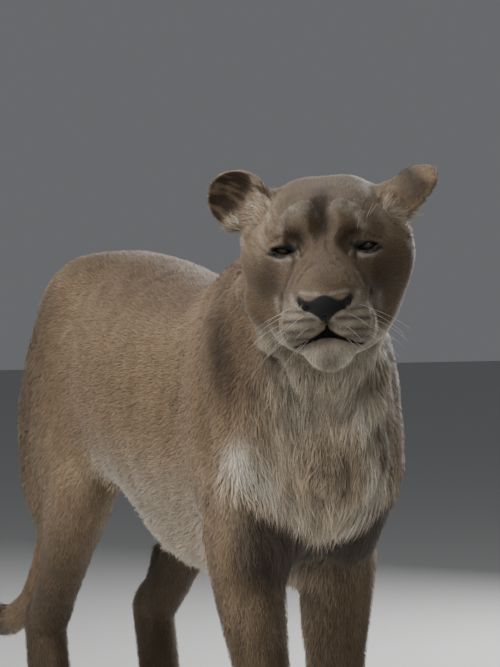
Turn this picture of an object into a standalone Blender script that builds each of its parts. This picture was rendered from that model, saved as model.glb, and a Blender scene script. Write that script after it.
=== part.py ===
# Lioness, life size, standing with her head turned to her own right. Metres, +Z up, facing -Y, soles at z = 0.
# The body is one field of distances built from named masses (lofts, ellipsoids, cones); it is meshed once,
# thinned, and then parted by thin flat cuts into the parts a person would name.
import bpy
import bmesh
from mathutils import Matrix, Vector

for old in list(bpy.data.objects):
    bpy.data.objects.remove(old, do_unlink=True)

# ---------------------------------------------------------------- shape functions
import math
import numpy as np

WITHERS = 1.00          # shoulder height of the living animal, metres
HEAD_YAW = 26.0         # degrees, head turned to its own right
HEAD_PITCH = 9.0        # degrees, nose carried a little low
HEAD_ROLL = 3.4         # degrees, left ear a little higher
EYES_AT = (-0.108, -0.800, 1.010)   # midpoint between the eyeballs
EYE_GAP = 0.0605        # half the distance between the eyeball centres
EYE_R = 0.0185


def vec(*a):
    return np.array(a, float)


def unit(v):
    v = np.asarray(v, float)
    return v / max(np.linalg.norm(v), 1e-12)


def axes(along, hint):
    """Three unit columns: across (nearest the hint), the third, and along."""
    w = unit(along)
    u = unit(np.asarray(hint, float) - w * np.dot(hint, w))
    return np.stack([u, np.cross(w, u), w], axis=1)


def turn(yaw, pitch, roll):
    """Head axes as columns: its left, its forward, its up."""
    y, p, r = (math.radians(a) for a in (yaw, pitch, roll))
    fwd = vec(-math.sin(y) * math.cos(p), -math.cos(y) * math.cos(p), -math.sin(p))
    left = unit(np.cross(fwd, (0, 0, 1)))
    left = -left if left[0] < 0 else left
    up = np.cross(left, -fwd)
    up = up if up[2] > 0 else -up
    c, s = math.cos(r), math.sin(r)
    return np.stack([left * c + up * s, fwd, up * c - left * s], axis=1)


HEAD = turn(HEAD_YAW, HEAD_PITCH, HEAD_ROLL)


def in_head(*p):
    return HEAD @ np.asarray(p, float) + np.asarray(EYES_AT)


def smooth_min(a, b, k):
    h = np.maximum(k - np.abs(a - b), 0) / k
    return np.minimum(a, b) - h * h * k * 0.25


def smooth_max(a, b, k):
    return -smooth_min(-a, -b, k)


def smooth_step(e0, e1, x):
    t = np.clip((x - e0) / (e1 - e0), 0, 1)
    return t * t * (3 - 2 * t)


# A shape is (bounds, function of points). Bounds let far points be skipped.
def ellipsoid(c, r, rot=np.eye(3)):
    c, r, rot = np.asarray(c, float), np.asarray(r, float), np.asarray(rot, float)
    reach = np.sqrt(((rot * r) ** 2).sum(1))

    def f(p):
        q = (p - c) @ rot / r
        k0 = np.sqrt((q * q).sum(1)) + 1e-9
        k1 = np.sqrt(((q / r) ** 2).sum(1)) + 1e-9
        return k0 * (k0 - 1) / k1

    return (c - reach, c + reach), f


def spindle(a, b, across, other, hint=(1, 0, 0), more=1.0):
    """An ellipsoid from a to b, its half width near the hint's direction and its other half width given."""
    a, b = np.asarray(a, float), np.asarray(b, float)
    return ellipsoid((a + b) / 2, (across, other, np.linalg.norm(b - a) / 2 * more), axes(b - a, hint))


def cone(a, b, ra, rb):
    """Two balls and the cone round them."""
    a, b = np.asarray(a, float), np.asarray(b, float)
    ba = b - a
    l2 = ba @ ba
    rr = ra - rb
    a2 = l2 - rr * rr
    il2 = 1 / l2

    def f(p):
        pa = p - a
        y = pa @ ba
        z = y - l2
        x = pa * l2 - y[:, None] * ba
        x2 = (x * x).sum(1)
        y2 = y * y * l2
        z2 = z * z * l2
        k = math.copysign(1, rr) * rr * rr * x2
        one = np.sqrt(x2 + z2) * il2 - rb
        two = np.sqrt(x2 + y2) * il2 - ra
        three = (np.sqrt(x2 * a2 * il2) + y * rr) * il2 - ra
        return np.where(np.sign(z) * a2 * z2 > k, one, np.where(np.sign(y) * a2 * y2 < k, two, three))

    r = max(ra, rb)
    return (np.minimum(a, b) - r, np.maximum(a, b) + r), f


def fair(rows, steps):
    """Catmull-Rom through rows of numbers."""
    rows = np.asarray(rows, float)
    ends = np.concatenate([[2 * rows[0] - rows[1]], rows, [2 * rows[-1] - rows[-2]]])
    out = []
    for i in range(len(rows) - 1):
        p0, p1, p2, p3 = ends[i : i + 4]
        for t in np.arange(steps) / steps:
            out.append(0.5 * (2 * p1 + (p2 - p0) * t + (2 * p0 - 5 * p1 + 4 * p2 - p3) * t * t + (3 * p1 - p0 - 3 * p2 + p3) * t**3))
    out.append(rows[-1])
    return np.array(out)


def loft(rows, hint, steps=5, cap=1.0):
    """A tube through rows of (x, y, z, up, down, side): the radii towards the hint, away from it, and to both sides."""
    s = fair(rows, steps)
    c = s[:, :3]
    radii = np.maximum(s[:, 3:6], 0.002)
    seg = c[1:] - c[:-1]
    seg2 = (seg * seg).sum(1)
    tan = np.gradient(c, axis=0)
    tan /= np.linalg.norm(tan, axis=1)[:, None]
    hint = np.asarray(hint, float)
    up = hint - tan * (tan @ hint)[:, None]
    up /= np.linalg.norm(up, axis=1)[:, None]
    side = np.cross(tan, up)
    reach = radii.max(1)[:, None]
    lo, hi = (c - reach).min(0), (c + reach).max(0)

    def f(p):
        d2 = (p * p).sum(1)[:, None] - 2 * p @ c.T + (c * c).sum(1)
        near = d2.argmin(1)
        best = None
        for shift in (-1, 0):
            i = np.clip(near + shift, 0, len(seg) - 1)
            t = ((p - c[i]) * seg[i]).sum(1) / seg2[i]
            tc = np.clip(t, 0, 1)
            q = c[i] + seg[i] * tc[:, None]
            d = ((p - q) ** 2).sum(1)
            if best is None:
                best = [d, i, tc, t]
            else:
                m = d < best[0]
                best = [np.where(m, d, best[0]), np.where(m, i, best[1]), np.where(m, tc, best[2]), np.where(m, t, best[3])]
        _, i, t, raw = best
        w = t[:, None]
        q = c[i] * (1 - w) + c[i + 1] * w
        tt = tan[i] * (1 - w) + tan[i + 1] * w
        uu = up[i] * (1 - w) + up[i + 1] * w
        ss = side[i] * (1 - w) + side[i + 1] * w
        rr = radii[i] * (1 - w) + radii[i + 1] * w
        o = p - q
        a, b, e = (o * uu).sum(1), (o * ss).sum(1), (o * tt).sum(1)
        ends = ((i == 0) & (raw < 0)) | ((i == len(seg) - 1) & (raw > 1))
        e = np.where(ends, e, 0)
        ra = np.where(a > 0, rr[:, 0], rr[:, 1])
        rb = rr[:, 2]
        re = np.minimum(np.minimum(rr[:, 0], rr[:, 1]), rb) * cap
        k0 = np.sqrt((a / ra) ** 2 + (b / rb) ** 2 + (e / re) ** 2) + 1e-9
        k1 = np.sqrt((a / ra**2) ** 2 + (b / rb**2) ** 2 + (e / re**2) ** 2) + 1e-9
        return np.where(k0 < 0.05, -rr.min(1), k0 * (k0 - 1) / k1)

    return (lo, hi), f


# ---------------------------------------------------------------- the animal
class Flesh:
    """Masses joined one after another, each with its own blend: a field of distances, negative inside."""

    def __init__(self):
        self.steps = []

    def add(self, shape, blend, name=""):
        self.steps.append((shape, blend, False, name))

    def cut(self, shape, blend, name=""):
        self.steps.append((shape, blend, True, name))

    def __call__(self, p, far=0.05):
        f = np.full(len(p), 0.5)
        for ((low, high), g), k, hollow, _ in self.steps:
            m = k + far
            i = np.nonzero(((p > low - m) & (p < high + m)).all(1))[0]
            if len(i):
                d = g(p[i])
                f[i] = smooth_max(f[i], -d, k) if hollow else smooth_min(f[i], d, k)
        return f


def trunk(flesh):
    rows = [
        (0, -0.600, 0.685, 0.090, 0.085, 0.072),
        (0, -0.555, 0.695, 0.150, 0.145, 0.112),
        (0, -0.470, 0.715, 0.212, 0.205, 0.138),
        (0, -0.370, 0.730, 0.235, 0.235, 0.152),
        (0, -0.220, 0.738, 0.218, 0.242, 0.170),
        (0, -0.080, 0.748, 0.206, 0.230, 0.184),
        (0, 0.060, 0.765, 0.205, 0.200, 0.184),
        (0, 0.180, 0.790, 0.200, 0.165, 0.172),
        (0, 0.300, 0.810, 0.190, 0.160, 0.150),
        (0, 0.410, 0.830, 0.166, 0.150, 0.125),
        (0, 0.500, 0.838, 0.125, 0.120, 0.098),
        (0, 0.560, 0.828, 0.085, 0.090, 0.065),
    ]
    flesh.add(loft(rows, (0, 0, 1)), 0.01, name="trunk")
    flesh.add(ellipsoid((-0.015, -0.560, 0.770), (0.085, 0.070, 0.120)), 0.08, name="trunk")
    # loose skin under the chest and belly
    flesh.add(spindle((0, -0.34, 0.520), (0, 0.04, 0.555), 0.085, 0.045, (1, 0, 0), 1.15), 0.08, name="belly")


def foreleg(flesh, s, shoulder_y, elbow, wrist, paw, paw_yaw, spread=1.0, stout=1.0):
    """One foreleg on side s, with its joints given."""
    x, sy = s * spread, shoulder_y
    flesh.add(spindle((x * 0.060, sy + 0.175, 0.965), (x * 0.126, sy + 0.005, 0.68), 0.052, 0.095, (1, 0, 0), 1.08), 0.07, name="scapula")
    flesh.add(ellipsoid((x * 0.116, sy + 0.055, 0.80), (0.048, 0.075, 0.095)), 0.06, name="shoulder_top")
    flesh.add(ellipsoid((x * 0.110, sy + 0.005, 0.675), (0.054, 0.060, 0.085)), 0.05, name="shoulder")
    e = vec(*elbow)
    flesh.add(spindle((x * 0.112, sy + 0.15, 0.80), e + (0, 0.035, 0.02), 0.050, 0.088, (1, 0, 0), 1.1), 0.05, name="triceps")
    flesh.add(spindle((x * 0.108, sy, 0.68), e + (0, -0.01, -0.02), 0.050, 0.060, (1, 0, 0), 1.15), 0.05, name="arm")
    flesh.add(spindle((x * 0.035, -0.580, 0.69), (x * 0.080, -0.500, 0.525), 0.050, 0.048, (1, 0, 0), 1.1), 0.05, name="pectoral")
    w, h = vec(*wrist), vec(*paw)
    d = w - e
    rows = [
        (*(e + d * -0.10), 0.052, 0.062, 0.054),
        (*(e + d * 0.06), 0.058, 0.066, 0.058),
        (*(e + d * 0.22), 0.054, 0.060, 0.055),
        (*(e + d * 0.50), 0.043, 0.046, 0.046),
        (*(e + d * 0.80), 0.038, 0.039, 0.042),
        (*w, 0.041, 0.040, 0.045),
        (*(w * 0.45 + (h + (0, 0, 0.06)) * 0.55), 0.037, 0.037, 0.043),
        (*(h + (0, 0.0, 0.052)), 0.034, 0.034, 0.045),
    ]
    rows = [(*r[:5], r[5] * stout) for r in rows]
    flesh.add(loft(rows, (0, -1, 0.0)), 0.035, name="forearm")
    flesh.add(ellipsoid(e + (0, 0.048, 0.028), (0.032, 0.032, 0.040)), 0.035, name="elbow")
    paw_shape(flesh, h, paw_yaw, 1.0)


def paw_shape(flesh, at, yaw, size):
    """A paw standing at a point on the floor, with four toes."""
    a = math.radians(yaw)
    fwd = vec(-math.sin(a), -math.cos(a), 0)
    left = vec(math.cos(a), -math.sin(a), 0)
    rot = np.stack([left, -fwd, vec(0, 0, 1)], axis=1)
    at = np.asarray(at, float)

    def p(u, v, w):
        return at + left * u * size + fwd * v * size + vec(0, 0, w * size)

    flesh.add(ellipsoid(p(0, 0.018, 0.034), (0.051 * size, 0.066 * size, 0.041 * size), rot), 0.035, name="paw")
    for u, v, ww, ll in ((-0.041, 0.060, 0.0205, 0.036), (-0.0150, 0.080, 0.0215, 0.038), (0.0150, 0.080, 0.0215, 0.038), (0.041, 0.060, 0.0205, 0.036)):
        flesh.add(ellipsoid(p(u, v, 0.024), (ww * size, ll * size, 0.030 * size), rot), 0.012, name="toe")


def hindleg(flesh, s, knee, hock, foot, paw_yaw):
    k, t, h = vec(*knee), vec(*hock), vec(*foot)
    flesh.add(ellipsoid((s * 0.070, 0.37, 0.895), (0.064, 0.135, 0.085)), 0.06, name="rump")
    flesh.add(spindle((s * 0.090, 0.33, 0.87), k + (0, 0.01, 0.0), 0.064, 0.100, (1, 0, 0), 1.12), 0.06, name="thigh_front")
    flesh.add(spindle((s * 0.088, 0.44, 0.88), k * 0.6 + t * 0.4 + (0, 0.01, 0.05), 0.074, 0.132, (1, 0, 0), 1.1), 0.06, name="thigh")
    flesh.add(spindle((s * 0.078, 0.520, 0.85), k * 0.45 + t * 0.55 + (0, 0.03, 0.05), 0.062, 0.080, (1, 0, 0), 1.12), 0.05, name="hamstring")
    d = t - k
    rows = [
        (*(k + d * -0.06), 0.050, 0.060, 0.055),
        (*(k + d * 0.10), 0.052, 0.068, 0.056),
        (*(k + d * 0.35), 0.044, 0.060, 0.048),
        (*(k + d * 0.65), 0.038, 0.046, 0.041),
        (*(k + d * 0.88), 0.038, 0.040, 0.039),
        (*t, 0.042, 0.042, 0.041),
        (*(t * 0.72 + h * 0.28), 0.041, 0.041, 0.041),
        (*(t * 0.35 + h * 0.65), 0.037, 0.037, 0.040),
        (*(h + (0, 0.012, 0.050)), 0.037, 0.037, 0.043),
    ]
    flesh.add(loft(rows, (0, -1, 0.25)), 0.04, name="shank")
    heel = t + (0, 0.024, 0.022)
    flesh.add(cone(t + (0, -0.036, 0.125), heel, 0.018, 0.019), 0.035, name="tendon")
    flesh.add(ellipsoid(heel, (0.020, 0.020, 0.032)), 0.035, name="heel")
    # the fold of skin from the knee to the flank
    flesh.add(spindle(k + (-s * 0.010, 0.03, 0.06), (s * 0.118, 0.07, 0.720), 0.022, 0.045, (1, 0, 0), 1.1), 0.07, name="flank_fold")
    paw_shape(flesh, h, paw_yaw, 0.94)


def neck(flesh):
    back = in_head(0, -0.115, -0.035)
    rows = [
        (0.000, -0.330, 0.820, 0.150, 0.150, 0.120),
        (-0.015, -0.440, 0.850, 0.135, 0.170, 0.128),
        (-0.045, -0.550, 0.890, 0.118, 0.165, 0.122),
        (*(vec(-0.045, -0.550, 0.890) * 0.45 + back * 0.55), 0.100, 0.150, 0.112),
        (*back, 0.095, 0.110, 0.100),
    ]
    flesh.add(loft(rows, (0, 0.0, 1)), 0.06, name="neck")


def tail_path():
    return [(0, 0.53, 0.905), (-0.002, 0.610, 0.850), (-0.005, 0.668, 0.740), (-0.008, 0.700, 0.610), (-0.012, 0.735, 0.480),
            (-0.016, 0.785, 0.380), (-0.020, 0.865, 0.300), (-0.026, 0.970, 0.250), (-0.032, 1.075, 0.240)]


def tail(flesh):
    r = (0.046, 0.041, 0.036, 0.033, 0.031, 0.030, 0.028, 0.030, 0.026)
    rows = [(*p, q, q, q) for p, q in zip(tail_path(), r)]
    flesh.add(loft(rows, (0, 1, 0.6)), 0.04, name="tail")


def head(flesh, ear_thick, fine):
    def put(shape, k, kind="add", name="head"):
        (flesh.add if kind == "add" else flesh.cut)(shape, k, name=name)

    def ball(u, v, w, a, b, c, tilt=0.0, fan=0.0, lean=0.0):
        """An ellipsoid in head terms (left, forward, up), tilted about the left axis, fanned about the up axis, leaned about the forward axis."""
        t, n, q = (math.radians(d) for d in (tilt, fan, lean))
        rx = np.array([[1, 0, 0], [0, math.cos(t), -math.sin(t)], [0, math.sin(t), math.cos(t)]])
        rz = np.array([[math.cos(n), -math.sin(n), 0], [math.sin(n), math.cos(n), 0], [0, 0, 1]])
        ry = np.array([[math.cos(q), 0, math.sin(q)], [0, 1, 0], [-math.sin(q), 0, math.cos(q)]])
        return ellipsoid(in_head(u, v, w), (a, b, c), HEAD @ rz @ ry @ rx)

    def rod(a, b, ra, rb):
        return cone(in_head(*a), in_head(*b), ra, rb)

    for s in (-1, 1):
        put(ball(s * 0.034, -0.080, 0.006, 0.058, 0.105, 0.080), 0.05)                # braincase
    put(ball(0, -0.015, 0.026, 0.070, 0.055, 0.044), 0.04)                            # forehead
    for s in (-1, 1):
        put(ball(s * 0.083, -0.050, -0.026, 0.043, 0.058, 0.050), 0.04)               # cheek bone
        put(ball(s * 0.062, -0.054, -0.083, 0.038, 0.062, 0.048), 0.04)               # jaw muscle
        put(ball(s * 0.042, -0.032, -0.118, 0.036, 0.066, 0.036), 0.04)               # lower cheek
        put(ball(s * 0.050, -0.002, -0.020, 0.040, 0.028, 0.034), 0.03)               # round the eye
    put(ball(0, 0.046, -0.016, 0.032, 0.070, 0.026, -28), 0.025)                      # bridge of the nose
    put(ball(0, 0.092, -0.044, 0.032, 0.032, 0.022, -24), 0.02)
    for s in (-1, 1):
        put(ball(s * 0.034, 0.040, -0.062, 0.032, 0.066, 0.042, -6, s * 8), 0.03)     # side of the muzzle
        put(ball(s * 0.036, 0.080, -0.093, 0.032, 0.040, 0.031, 0, s * 20, s * 12), 0.010)  # whisker pad
        put(ball(s * 0.048, 0.054, -0.112, 0.020, 0.038, 0.022, 0, s * 14), 0.014)          # corner of the lips
    put(ball(0, 0.012, -0.124, 0.050, 0.078, 0.033), 0.03)                            # lower jaw
    put(ball(0, 0.073, -0.137, 0.032, 0.031, 0.024), 0.018)                           # chin
    for s in (-1, 1):
        put(ball(s * 0.026, 0.010, 0.046, 0.018, 0.018, 0.021), 0.016)                # frontal swelling
        put(ball(s * 0.056, 0.004, 0.030, 0.025, 0.020, 0.015, 0, -s * 14, s * 14), 0.016)  # brow
        put(ball(s * 0.038, 0.036, 0.010, 0.010, 0.012, 0.012), 0.02, "cut")          # hollow above the inner corner
    put(ball(0, 0.047, 0.052, 0.007, 0.022, 0.030), 0.020, "cut")                     # furrow of the forehead
    nose(put, ball, rod, fine)
    for s in (-1, 1):
        eye_folds(put, ball, rod, s)
    if fine:
        mouth(put, ball, rod)
    for _, s, out, face in EARS:
        ear(put, rod, s, out, face, ear_thick, fine)


def nose(put, ball, rod, fine):
    put(ball(0, 0.114, -0.066, 0.024, 0.016, 0.022, -10), 0.012, name="nose")
    for s in (-1, 1):
        put(ball(s * 0.024, 0.108, -0.063, 0.015, 0.016, 0.013, 0, 0, s * 10), 0.008, name="nose")
        if fine:
            put(rod((s * 0.020, 0.128, -0.068), (s * 0.034, 0.116, -0.062), 0.0045, 0.0035), 0.004, "cut", name="nostril")


def eye_folds(put, ball, rod, s):
    c = (s * EYE_GAP, 0, 0)
    put(ball(c[0], c[1] - 0.001, c[2], 0.0235, 0.0225, 0.0215), 0.012, name="lid")
    # the opening between the lids: two broad balls meeting in an almond, its outer corner higher
    lift = 0.0215
    tip = s * 0.20
    high, low = (ball(c[0] - dz * tip, 0.020, c[2] + dz, 0.0272, 0.5, 0.0272) for dz in (-lift, lift))
    front = ball(c[0], 0.032, c[2], 0.030, 0.030, 0.030)

    def almond(p):
        return np.maximum(np.maximum(high[1](p), low[1](p)), front[1](p))

    put((front[0], almond), 0.003, "cut", name="eye_opening")


def mouth(put, ball, rod):
    put(rod((0, 0.124, -0.086), (0, 0.118, -0.100), 0.0018, 0.0024), 0.006, "cut")
    for s in (-1, 1):
        put(rod((0, 0.116, -0.104), (s * 0.020, 0.110, -0.117), 0.0035, 0.003), 0.007, "cut")
        put(rod((s * 0.020, 0.110, -0.117), (s * 0.037, 0.096, -0.131), 0.003, 0.003), 0.007, "cut")
        put(rod((s * 0.037, 0.096, -0.131), (s * 0.056, 0.050, -0.130), 0.003, 0.002), 0.008, "cut")


EARS = (("right", -1, (-0.80, -0.10, 0.60), (-0.25, 0.93, -0.10)), ("left", 1, (0.74, -0.10, 0.66), (0.55, -0.35, -0.70)))


def ear_axes(s, out, face):
    """Where an ear stands, and its directions: out to the tip, through to its open side, across."""
    out = HEAD @ unit(out)
    face = HEAD @ np.asarray(face, float)
    through = unit(face - out * (face @ out))
    return in_head(s * 0.100, -0.080, 0.046), out, through, np.cross(through, out)


def ear(put, rod, s, out, face, thick, fine):
    """A cupped leaf: a bowl-shaped sheet with a rounded outline, and the fold of skin along its front edge."""
    root, out, through, across = ear_axes(s, out, face)
    centre = root + out * 0.030
    half_w, half_l, depth = 0.047, 0.047, 0.030

    def f(p):
        d = p - centre
        a, b, c = d @ across, d @ out, d @ through
        r2 = (a / half_w) ** 2 + (b / half_l) ** 2
        bowl = depth * (np.minimum(r2, 2.0) - 1) + 0.010
        slope = np.sqrt(1 + 4 * depth * depth * np.minimum((a / half_w**2) ** 2 + (b / half_l**2) ** 2, 1200.0))
        sheet = np.abs(c - bowl) / slope - thick / 2
        r = np.sqrt(r2) + 1e-9
        rim = r * (r - 1) / (np.sqrt((a / half_w**2) ** 2 + (b / half_l**2) ** 2) + 1e-9)
        return smooth_max(sheet, rim, thick * 0.6)

    reach = 0.080
    put(((centre - reach, centre + reach), f), 0.012, name="ear")
    put(ellipsoid(root - through * 0.012 - out * 0.012, (0.036, 0.022, 0.030), axes(out, across)), 0.02)
    if fine:
        put(rod((s * 0.128, -0.040, 0.012), (s * 0.088, -0.045, 0.062), 0.006, 0.007), 0.014)


def build_flesh(ear_thick=0.012, fine=True):
    flesh = Flesh()
    trunk(flesh)
    foreleg(flesh, 1, -0.485, (0.100, -0.370, 0.520), (0.092, -0.375, 0.190), (0.094, -0.395, 0.0), 6, 0.88, 1.13)
    foreleg(flesh, -1, -0.545, (-0.106, -0.485, 0.530), (-0.070, -0.540, 0.190), (-0.066, -0.565, 0.0), 6)
    hindleg(flesh, 1, (0.138, 0.250, 0.570), (0.122, 0.540, 0.305), (0.125, 0.478, 0.0), 8)
    hindleg(flesh, -1, (-0.138, 0.190, 0.570), (-0.132, 0.425, 0.305), (-0.128, 0.375, 0.0), 8)
    neck(flesh)
    tail(flesh)
    head(flesh, ear_thick, fine)
    return flesh


# ---------------------------------------------------------------- from distances to a mesh
def settle(f, p, rounds, most):
    """Move points down the field's slope onto its zero surface."""
    h = 0.0015
    for _ in range(rounds):
        d = f(p)
        g = np.stack([f(p + np.eye(3)[i] * h) - d for i in range(3)], 1) / h
        step = np.clip(d / np.maximum((g * g).sum(1), 0.25), -most, most)
        p = p - g * step[:, None]
    return p


def unpinch(field, least):
    """Where the inside meets itself only corner to corner across a grid square, move the nearest corner to the other side."""
    for _ in range(12):
        changed = 0
        for a, b in ((0, 1), (1, 2), (0, 2)):
            ea, eb = np.eye(3, dtype=int)[a], np.eye(3, dtype=int)[b]
            n = np.array(field.shape) - ea - eb
            q = [field[tuple(slice(o[i], o[i] + n[i]) for i in range(3))] for o in (0 * ea, ea, ea + eb, eb)]
            s = [x < 0 for x in q]
            square = (s[0] == s[2]) & (s[1] == s[3]) & (s[0] != s[1]) & ~np.isnan(q[0] + q[1] + q[2] + q[3])
            for at in np.argwhere(square):
                corners = [tuple(at + o) for o in (0 * ea, ea, ea + eb, eb)]
                v = [field[c] for c in corners]
                if (v[0] < 0) == (v[2] < 0) and (v[1] < 0) == (v[3] < 0) and (v[0] < 0) != (v[1] < 0):
                    k = int(np.argmin(np.abs(v)))
                    field[corners[k]] = -math.copysign(least, v[k])
                    changed += 1
        if not changed:
            break


def surface_net(f, low, high, cell):
    """Closed quad surface where f changes sign: a point in each crossed cell, a face across each crossed edge of the grid."""
    block = 8
    low = np.asarray(low, float)
    count = np.ceil((np.asarray(high) - low) / (cell * block)).astype(int) + 1
    grid = np.stack(np.meshgrid(*[np.arange(k) for k in count], indexing="ij"), -1).reshape(-1, 3)
    d = f(low + (grid + 0.5) * block * cell, far=block * cell * 1.2 + 0.03)
    grid = grid[np.abs(d) < block * cell * 1.1 + 0.030]          # only blocks near the surface
    local = np.stack(np.meshgrid(*[np.arange(block)] * 3, indexing="ij"), -1).reshape(-1, 3)
    at = (grid[:, None, :] * block + local[None]).reshape(-1, 3)
    field = np.full(count * block + 1, np.nan, np.float32)
    for i in range(0, len(at), 400000):
        j = at[i : i + 400000]
        field[j[:, 0], j[:, 1], j[:, 2]] = f(low + j * cell)
    unpinch(field, cell * 0.02)
    inside, known = field < 0, ~np.isnan(field)

    def corners(a):
        return [a[i : a.shape[0] - 1 + i, j : a.shape[1] - 1 + j, k : a.shape[2] - 1 + k] for i in (0, 1) for j in (0, 1) for k in (0, 1)]

    c = corners(inside)
    crossed = np.logical_and.reduce(corners(known)) & np.logical_or.reduce(c) & ~np.logical_and.reduce(c)
    cells = np.argwhere(crossed)
    number = np.full(crossed.shape, -1, np.int64)
    number[tuple(cells.T)] = np.arange(len(cells))
    total, hits = np.zeros((len(cells), 3)), np.zeros(len(cells))
    corner = [np.array((i, j, k)) for i in (0, 1) for j in (0, 1) for k in (0, 1)]
    for a in range(8):
        for b in range(a + 1, 8):
            if np.abs(corner[a] - corner[b]).sum() == 1:
                fa, fb = field[tuple((cells + corner[a]).T)], field[tuple((cells + corner[b]).T)]
                m = (fa < 0) != (fb < 0)
                t = fa[m] / (fa[m] - fb[m])
                total[m] += corner[a] + (corner[b] - corner[a]) * t[:, None]
                hits[m] += 1
    points = low + (cells + total / hits[:, None]) * cell
    faces = []
    for axis in range(3):
        e, u, w = (np.eye(3, dtype=int)[(axis + i) % 3] for i in range(3))
        first = tuple(slice(0, inside.shape[i] - e[i]) for i in range(3))
        second = tuple(slice(e[i], inside.shape[i]) for i in range(3))
        x = np.argwhere((inside[first] != inside[second]) & known[first] & known[second])
        x = x[((x - u - w) >= 0).all(1) & (x < np.array(crossed.shape)).all(1)]
        q = np.stack([number[tuple(y.T)] for y in (x - u - w, x - w, x, x - u)], 1)
        q = np.where(inside[second][tuple(x.T)][:, None], q[:, ::-1], q)
        faces.append(q[(q >= 0).all(1)])
    return points, np.concatenate(faces)


# ---------------------------------------------------------------- the solids
GAP = 0.00015           # half the space left by each cut
CARE = 0.9995
TRIANGLES = 4050        # for the whole body before it is parted


def coloured(name, colour, roughness):
    m = bpy.data.materials.new(name)
    m.use_nodes = True
    b = m.node_tree.nodes["Principled BSDF"]
    b.inputs["Base Color"].default_value = (*colour, 1)
    b.inputs["Roughness"].default_value = roughness
    return m


def new_object(name, bm, colour=(0.45, 0.33, 0.20), roughness=0.85):
    me = bpy.data.meshes.new(name)
    bm.to_mesh(me)
    bm.free()
    ob = bpy.data.objects.new(name, me)
    bpy.context.scene.collection.objects.link(ob)
    me.materials.append(coloured(name + "_coat", colour, roughness))
    return ob


def applied(ob):
    """The object's mesh with its modifiers worked out."""
    graph = bpy.context.evaluated_depsgraph_get()
    me = bpy.data.meshes.new_from_object(ob.evaluated_get(graph))
    bm = bmesh.new()
    bm.from_mesh(me)
    bpy.data.meshes.remove(me)
    return bm


def thinned(bm, target):
    """Fewer faces, kept closer together on the head."""
    bmesh.ops.triangulate(bm, faces=bm.faces)
    ob = new_object("thin", bm)
    group = ob.vertex_groups.new(name="care")
    p = np.array([v.co[:] for v in ob.data.vertices])
    face = ((p - np.asarray(EYES_AT)) @ HEAD)[:, 1] > -0.14
    group.add([int(k) for k in np.nonzero(~face)[0]], 1.0, "REPLACE")
    group.add([int(k) for k in np.nonzero(face)[0]], CARE, "REPLACE")
    for share, careful in ((0.35, True), (target / len(ob.data.polygons) / 0.35, True)):
        m = ob.modifiers.new("fewer", "DECIMATE")
        m.ratio = share
        if careful:
            m.vertex_group = "care"
            m.vertex_group_factor = 1.0
    out = applied(ob)
    bpy.data.objects.remove(ob, do_unlink=True)
    return out


def prism(outline, axis, low, high, name="cutter"):
    """A block with a convex outline in the plane across an axis ('X' or 'Y'), from low to high along it."""
    bm = bmesh.new()

    def at(a, b, t):
        return (t, a, b) if axis == "X" else (a, t, b)

    first = [bm.verts.new(at(a, b, low)) for a, b in outline]
    last = [bm.verts.new(at(a, b, high)) for a, b in outline]
    bm.faces.new(first)
    bm.faces.new(last)
    for i in range(len(outline)):
        j = (i + 1) % len(outline)
        bm.faces.new((first[i], first[j], last[j], last[i]))
    bmesh.ops.recalc_face_normals(bm, faces=bm.faces)
    return new_object(name, bm)


def placed(ob, rotation, at):
    """A cutter moved from its own axes to the given ones."""
    ob.matrix_world = Matrix.Translation(Vector(at)) @ Matrix(np.asarray(rotation).tolist()).to_4x4()
    return ob


def ball(at, r, name="cutter"):
    bm = bmesh.new()
    bmesh.ops.create_uvsphere(bm, u_segments=20, v_segments=10, radius=r)
    bmesh.ops.translate(bm, verts=bm.verts, vec=Vector(at))
    return new_object(name, bm)


def parted(ob, cutter, keep):
    """The part of a solid inside or outside a cutter."""
    m = ob.modifiers.new("cut", "BOOLEAN")
    m.operation = "INTERSECT" if keep == "inside" else "DIFFERENCE"
    m.solver = "EXACT"
    m.object = cutter
    bpy.context.view_layer.update()
    bm = applied(ob)
    ob.modifiers.remove(m)
    return bm


def only_largest(bm):
    """Drop any crumbs a cut has left, keeping the one body."""
    seen, bodies = set(), []
    bm.faces.ensure_lookup_table()
    for f in bm.faces:
        if f.index in seen:
            continue
        stack, body = [f], []
        seen.add(f.index)
        while stack:
            g = stack.pop()
            body.append(g)
            for e in g.edges:
                for k in e.link_faces:
                    if k.index not in seen:
                        seen.add(k.index)
                        stack.append(k)
        bodies.append(body)
    bodies.sort(key=lambda b: -sum(f.calc_area() for f in b))
    for body in bodies[1:]:
        bmesh.ops.delete(bm, geom=body, context="FACES")
    loose = [v for v in bm.verts if not v.link_faces]
    bmesh.ops.delete(bm, geom=loose, context="VERTS")
    return bm


def tidy(bm):
    bmesh.ops.triangulate(bm, faces=[f for f in bm.faces if len(f.verts) > 3])
    bmesh.ops.remove_doubles(bm, verts=bm.verts, dist=0.00005)
    bmesh.ops.dissolve_degenerate(bm, dist=0.00003, edges=bm.edges)
    bmesh.ops.triangulate(bm, faces=[f for f in bm.faces if len(f.verts) > 3])
    bm = only_largest(bm)
    bmesh.ops.recalc_face_normals(bm, faces=bm.faces)
    return bm


def split(bm, at, normal):
    """Both sides of a flat cut through a solid, a thin space apart: (behind, ahead of the normal)."""
    out = []
    for side in (-1, 1):
        b = bm.copy()
        n = Vector(normal).normalized() * side
        r = bmesh.ops.bisect_plane(b, geom=b.verts[:] + b.edges[:] + b.faces[:], plane_co=Vector(at) + n * GAP, plane_no=-n, clear_outer=True, dist=1e-6)
        cut = [e for e in r["geom_cut"] if isinstance(e, bmesh.types.BMEdge)]
        bmesh.ops.edgeloop_fill(b, edges=cut)
        out.append(tidy(b))
    bm.free()
    return out


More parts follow.
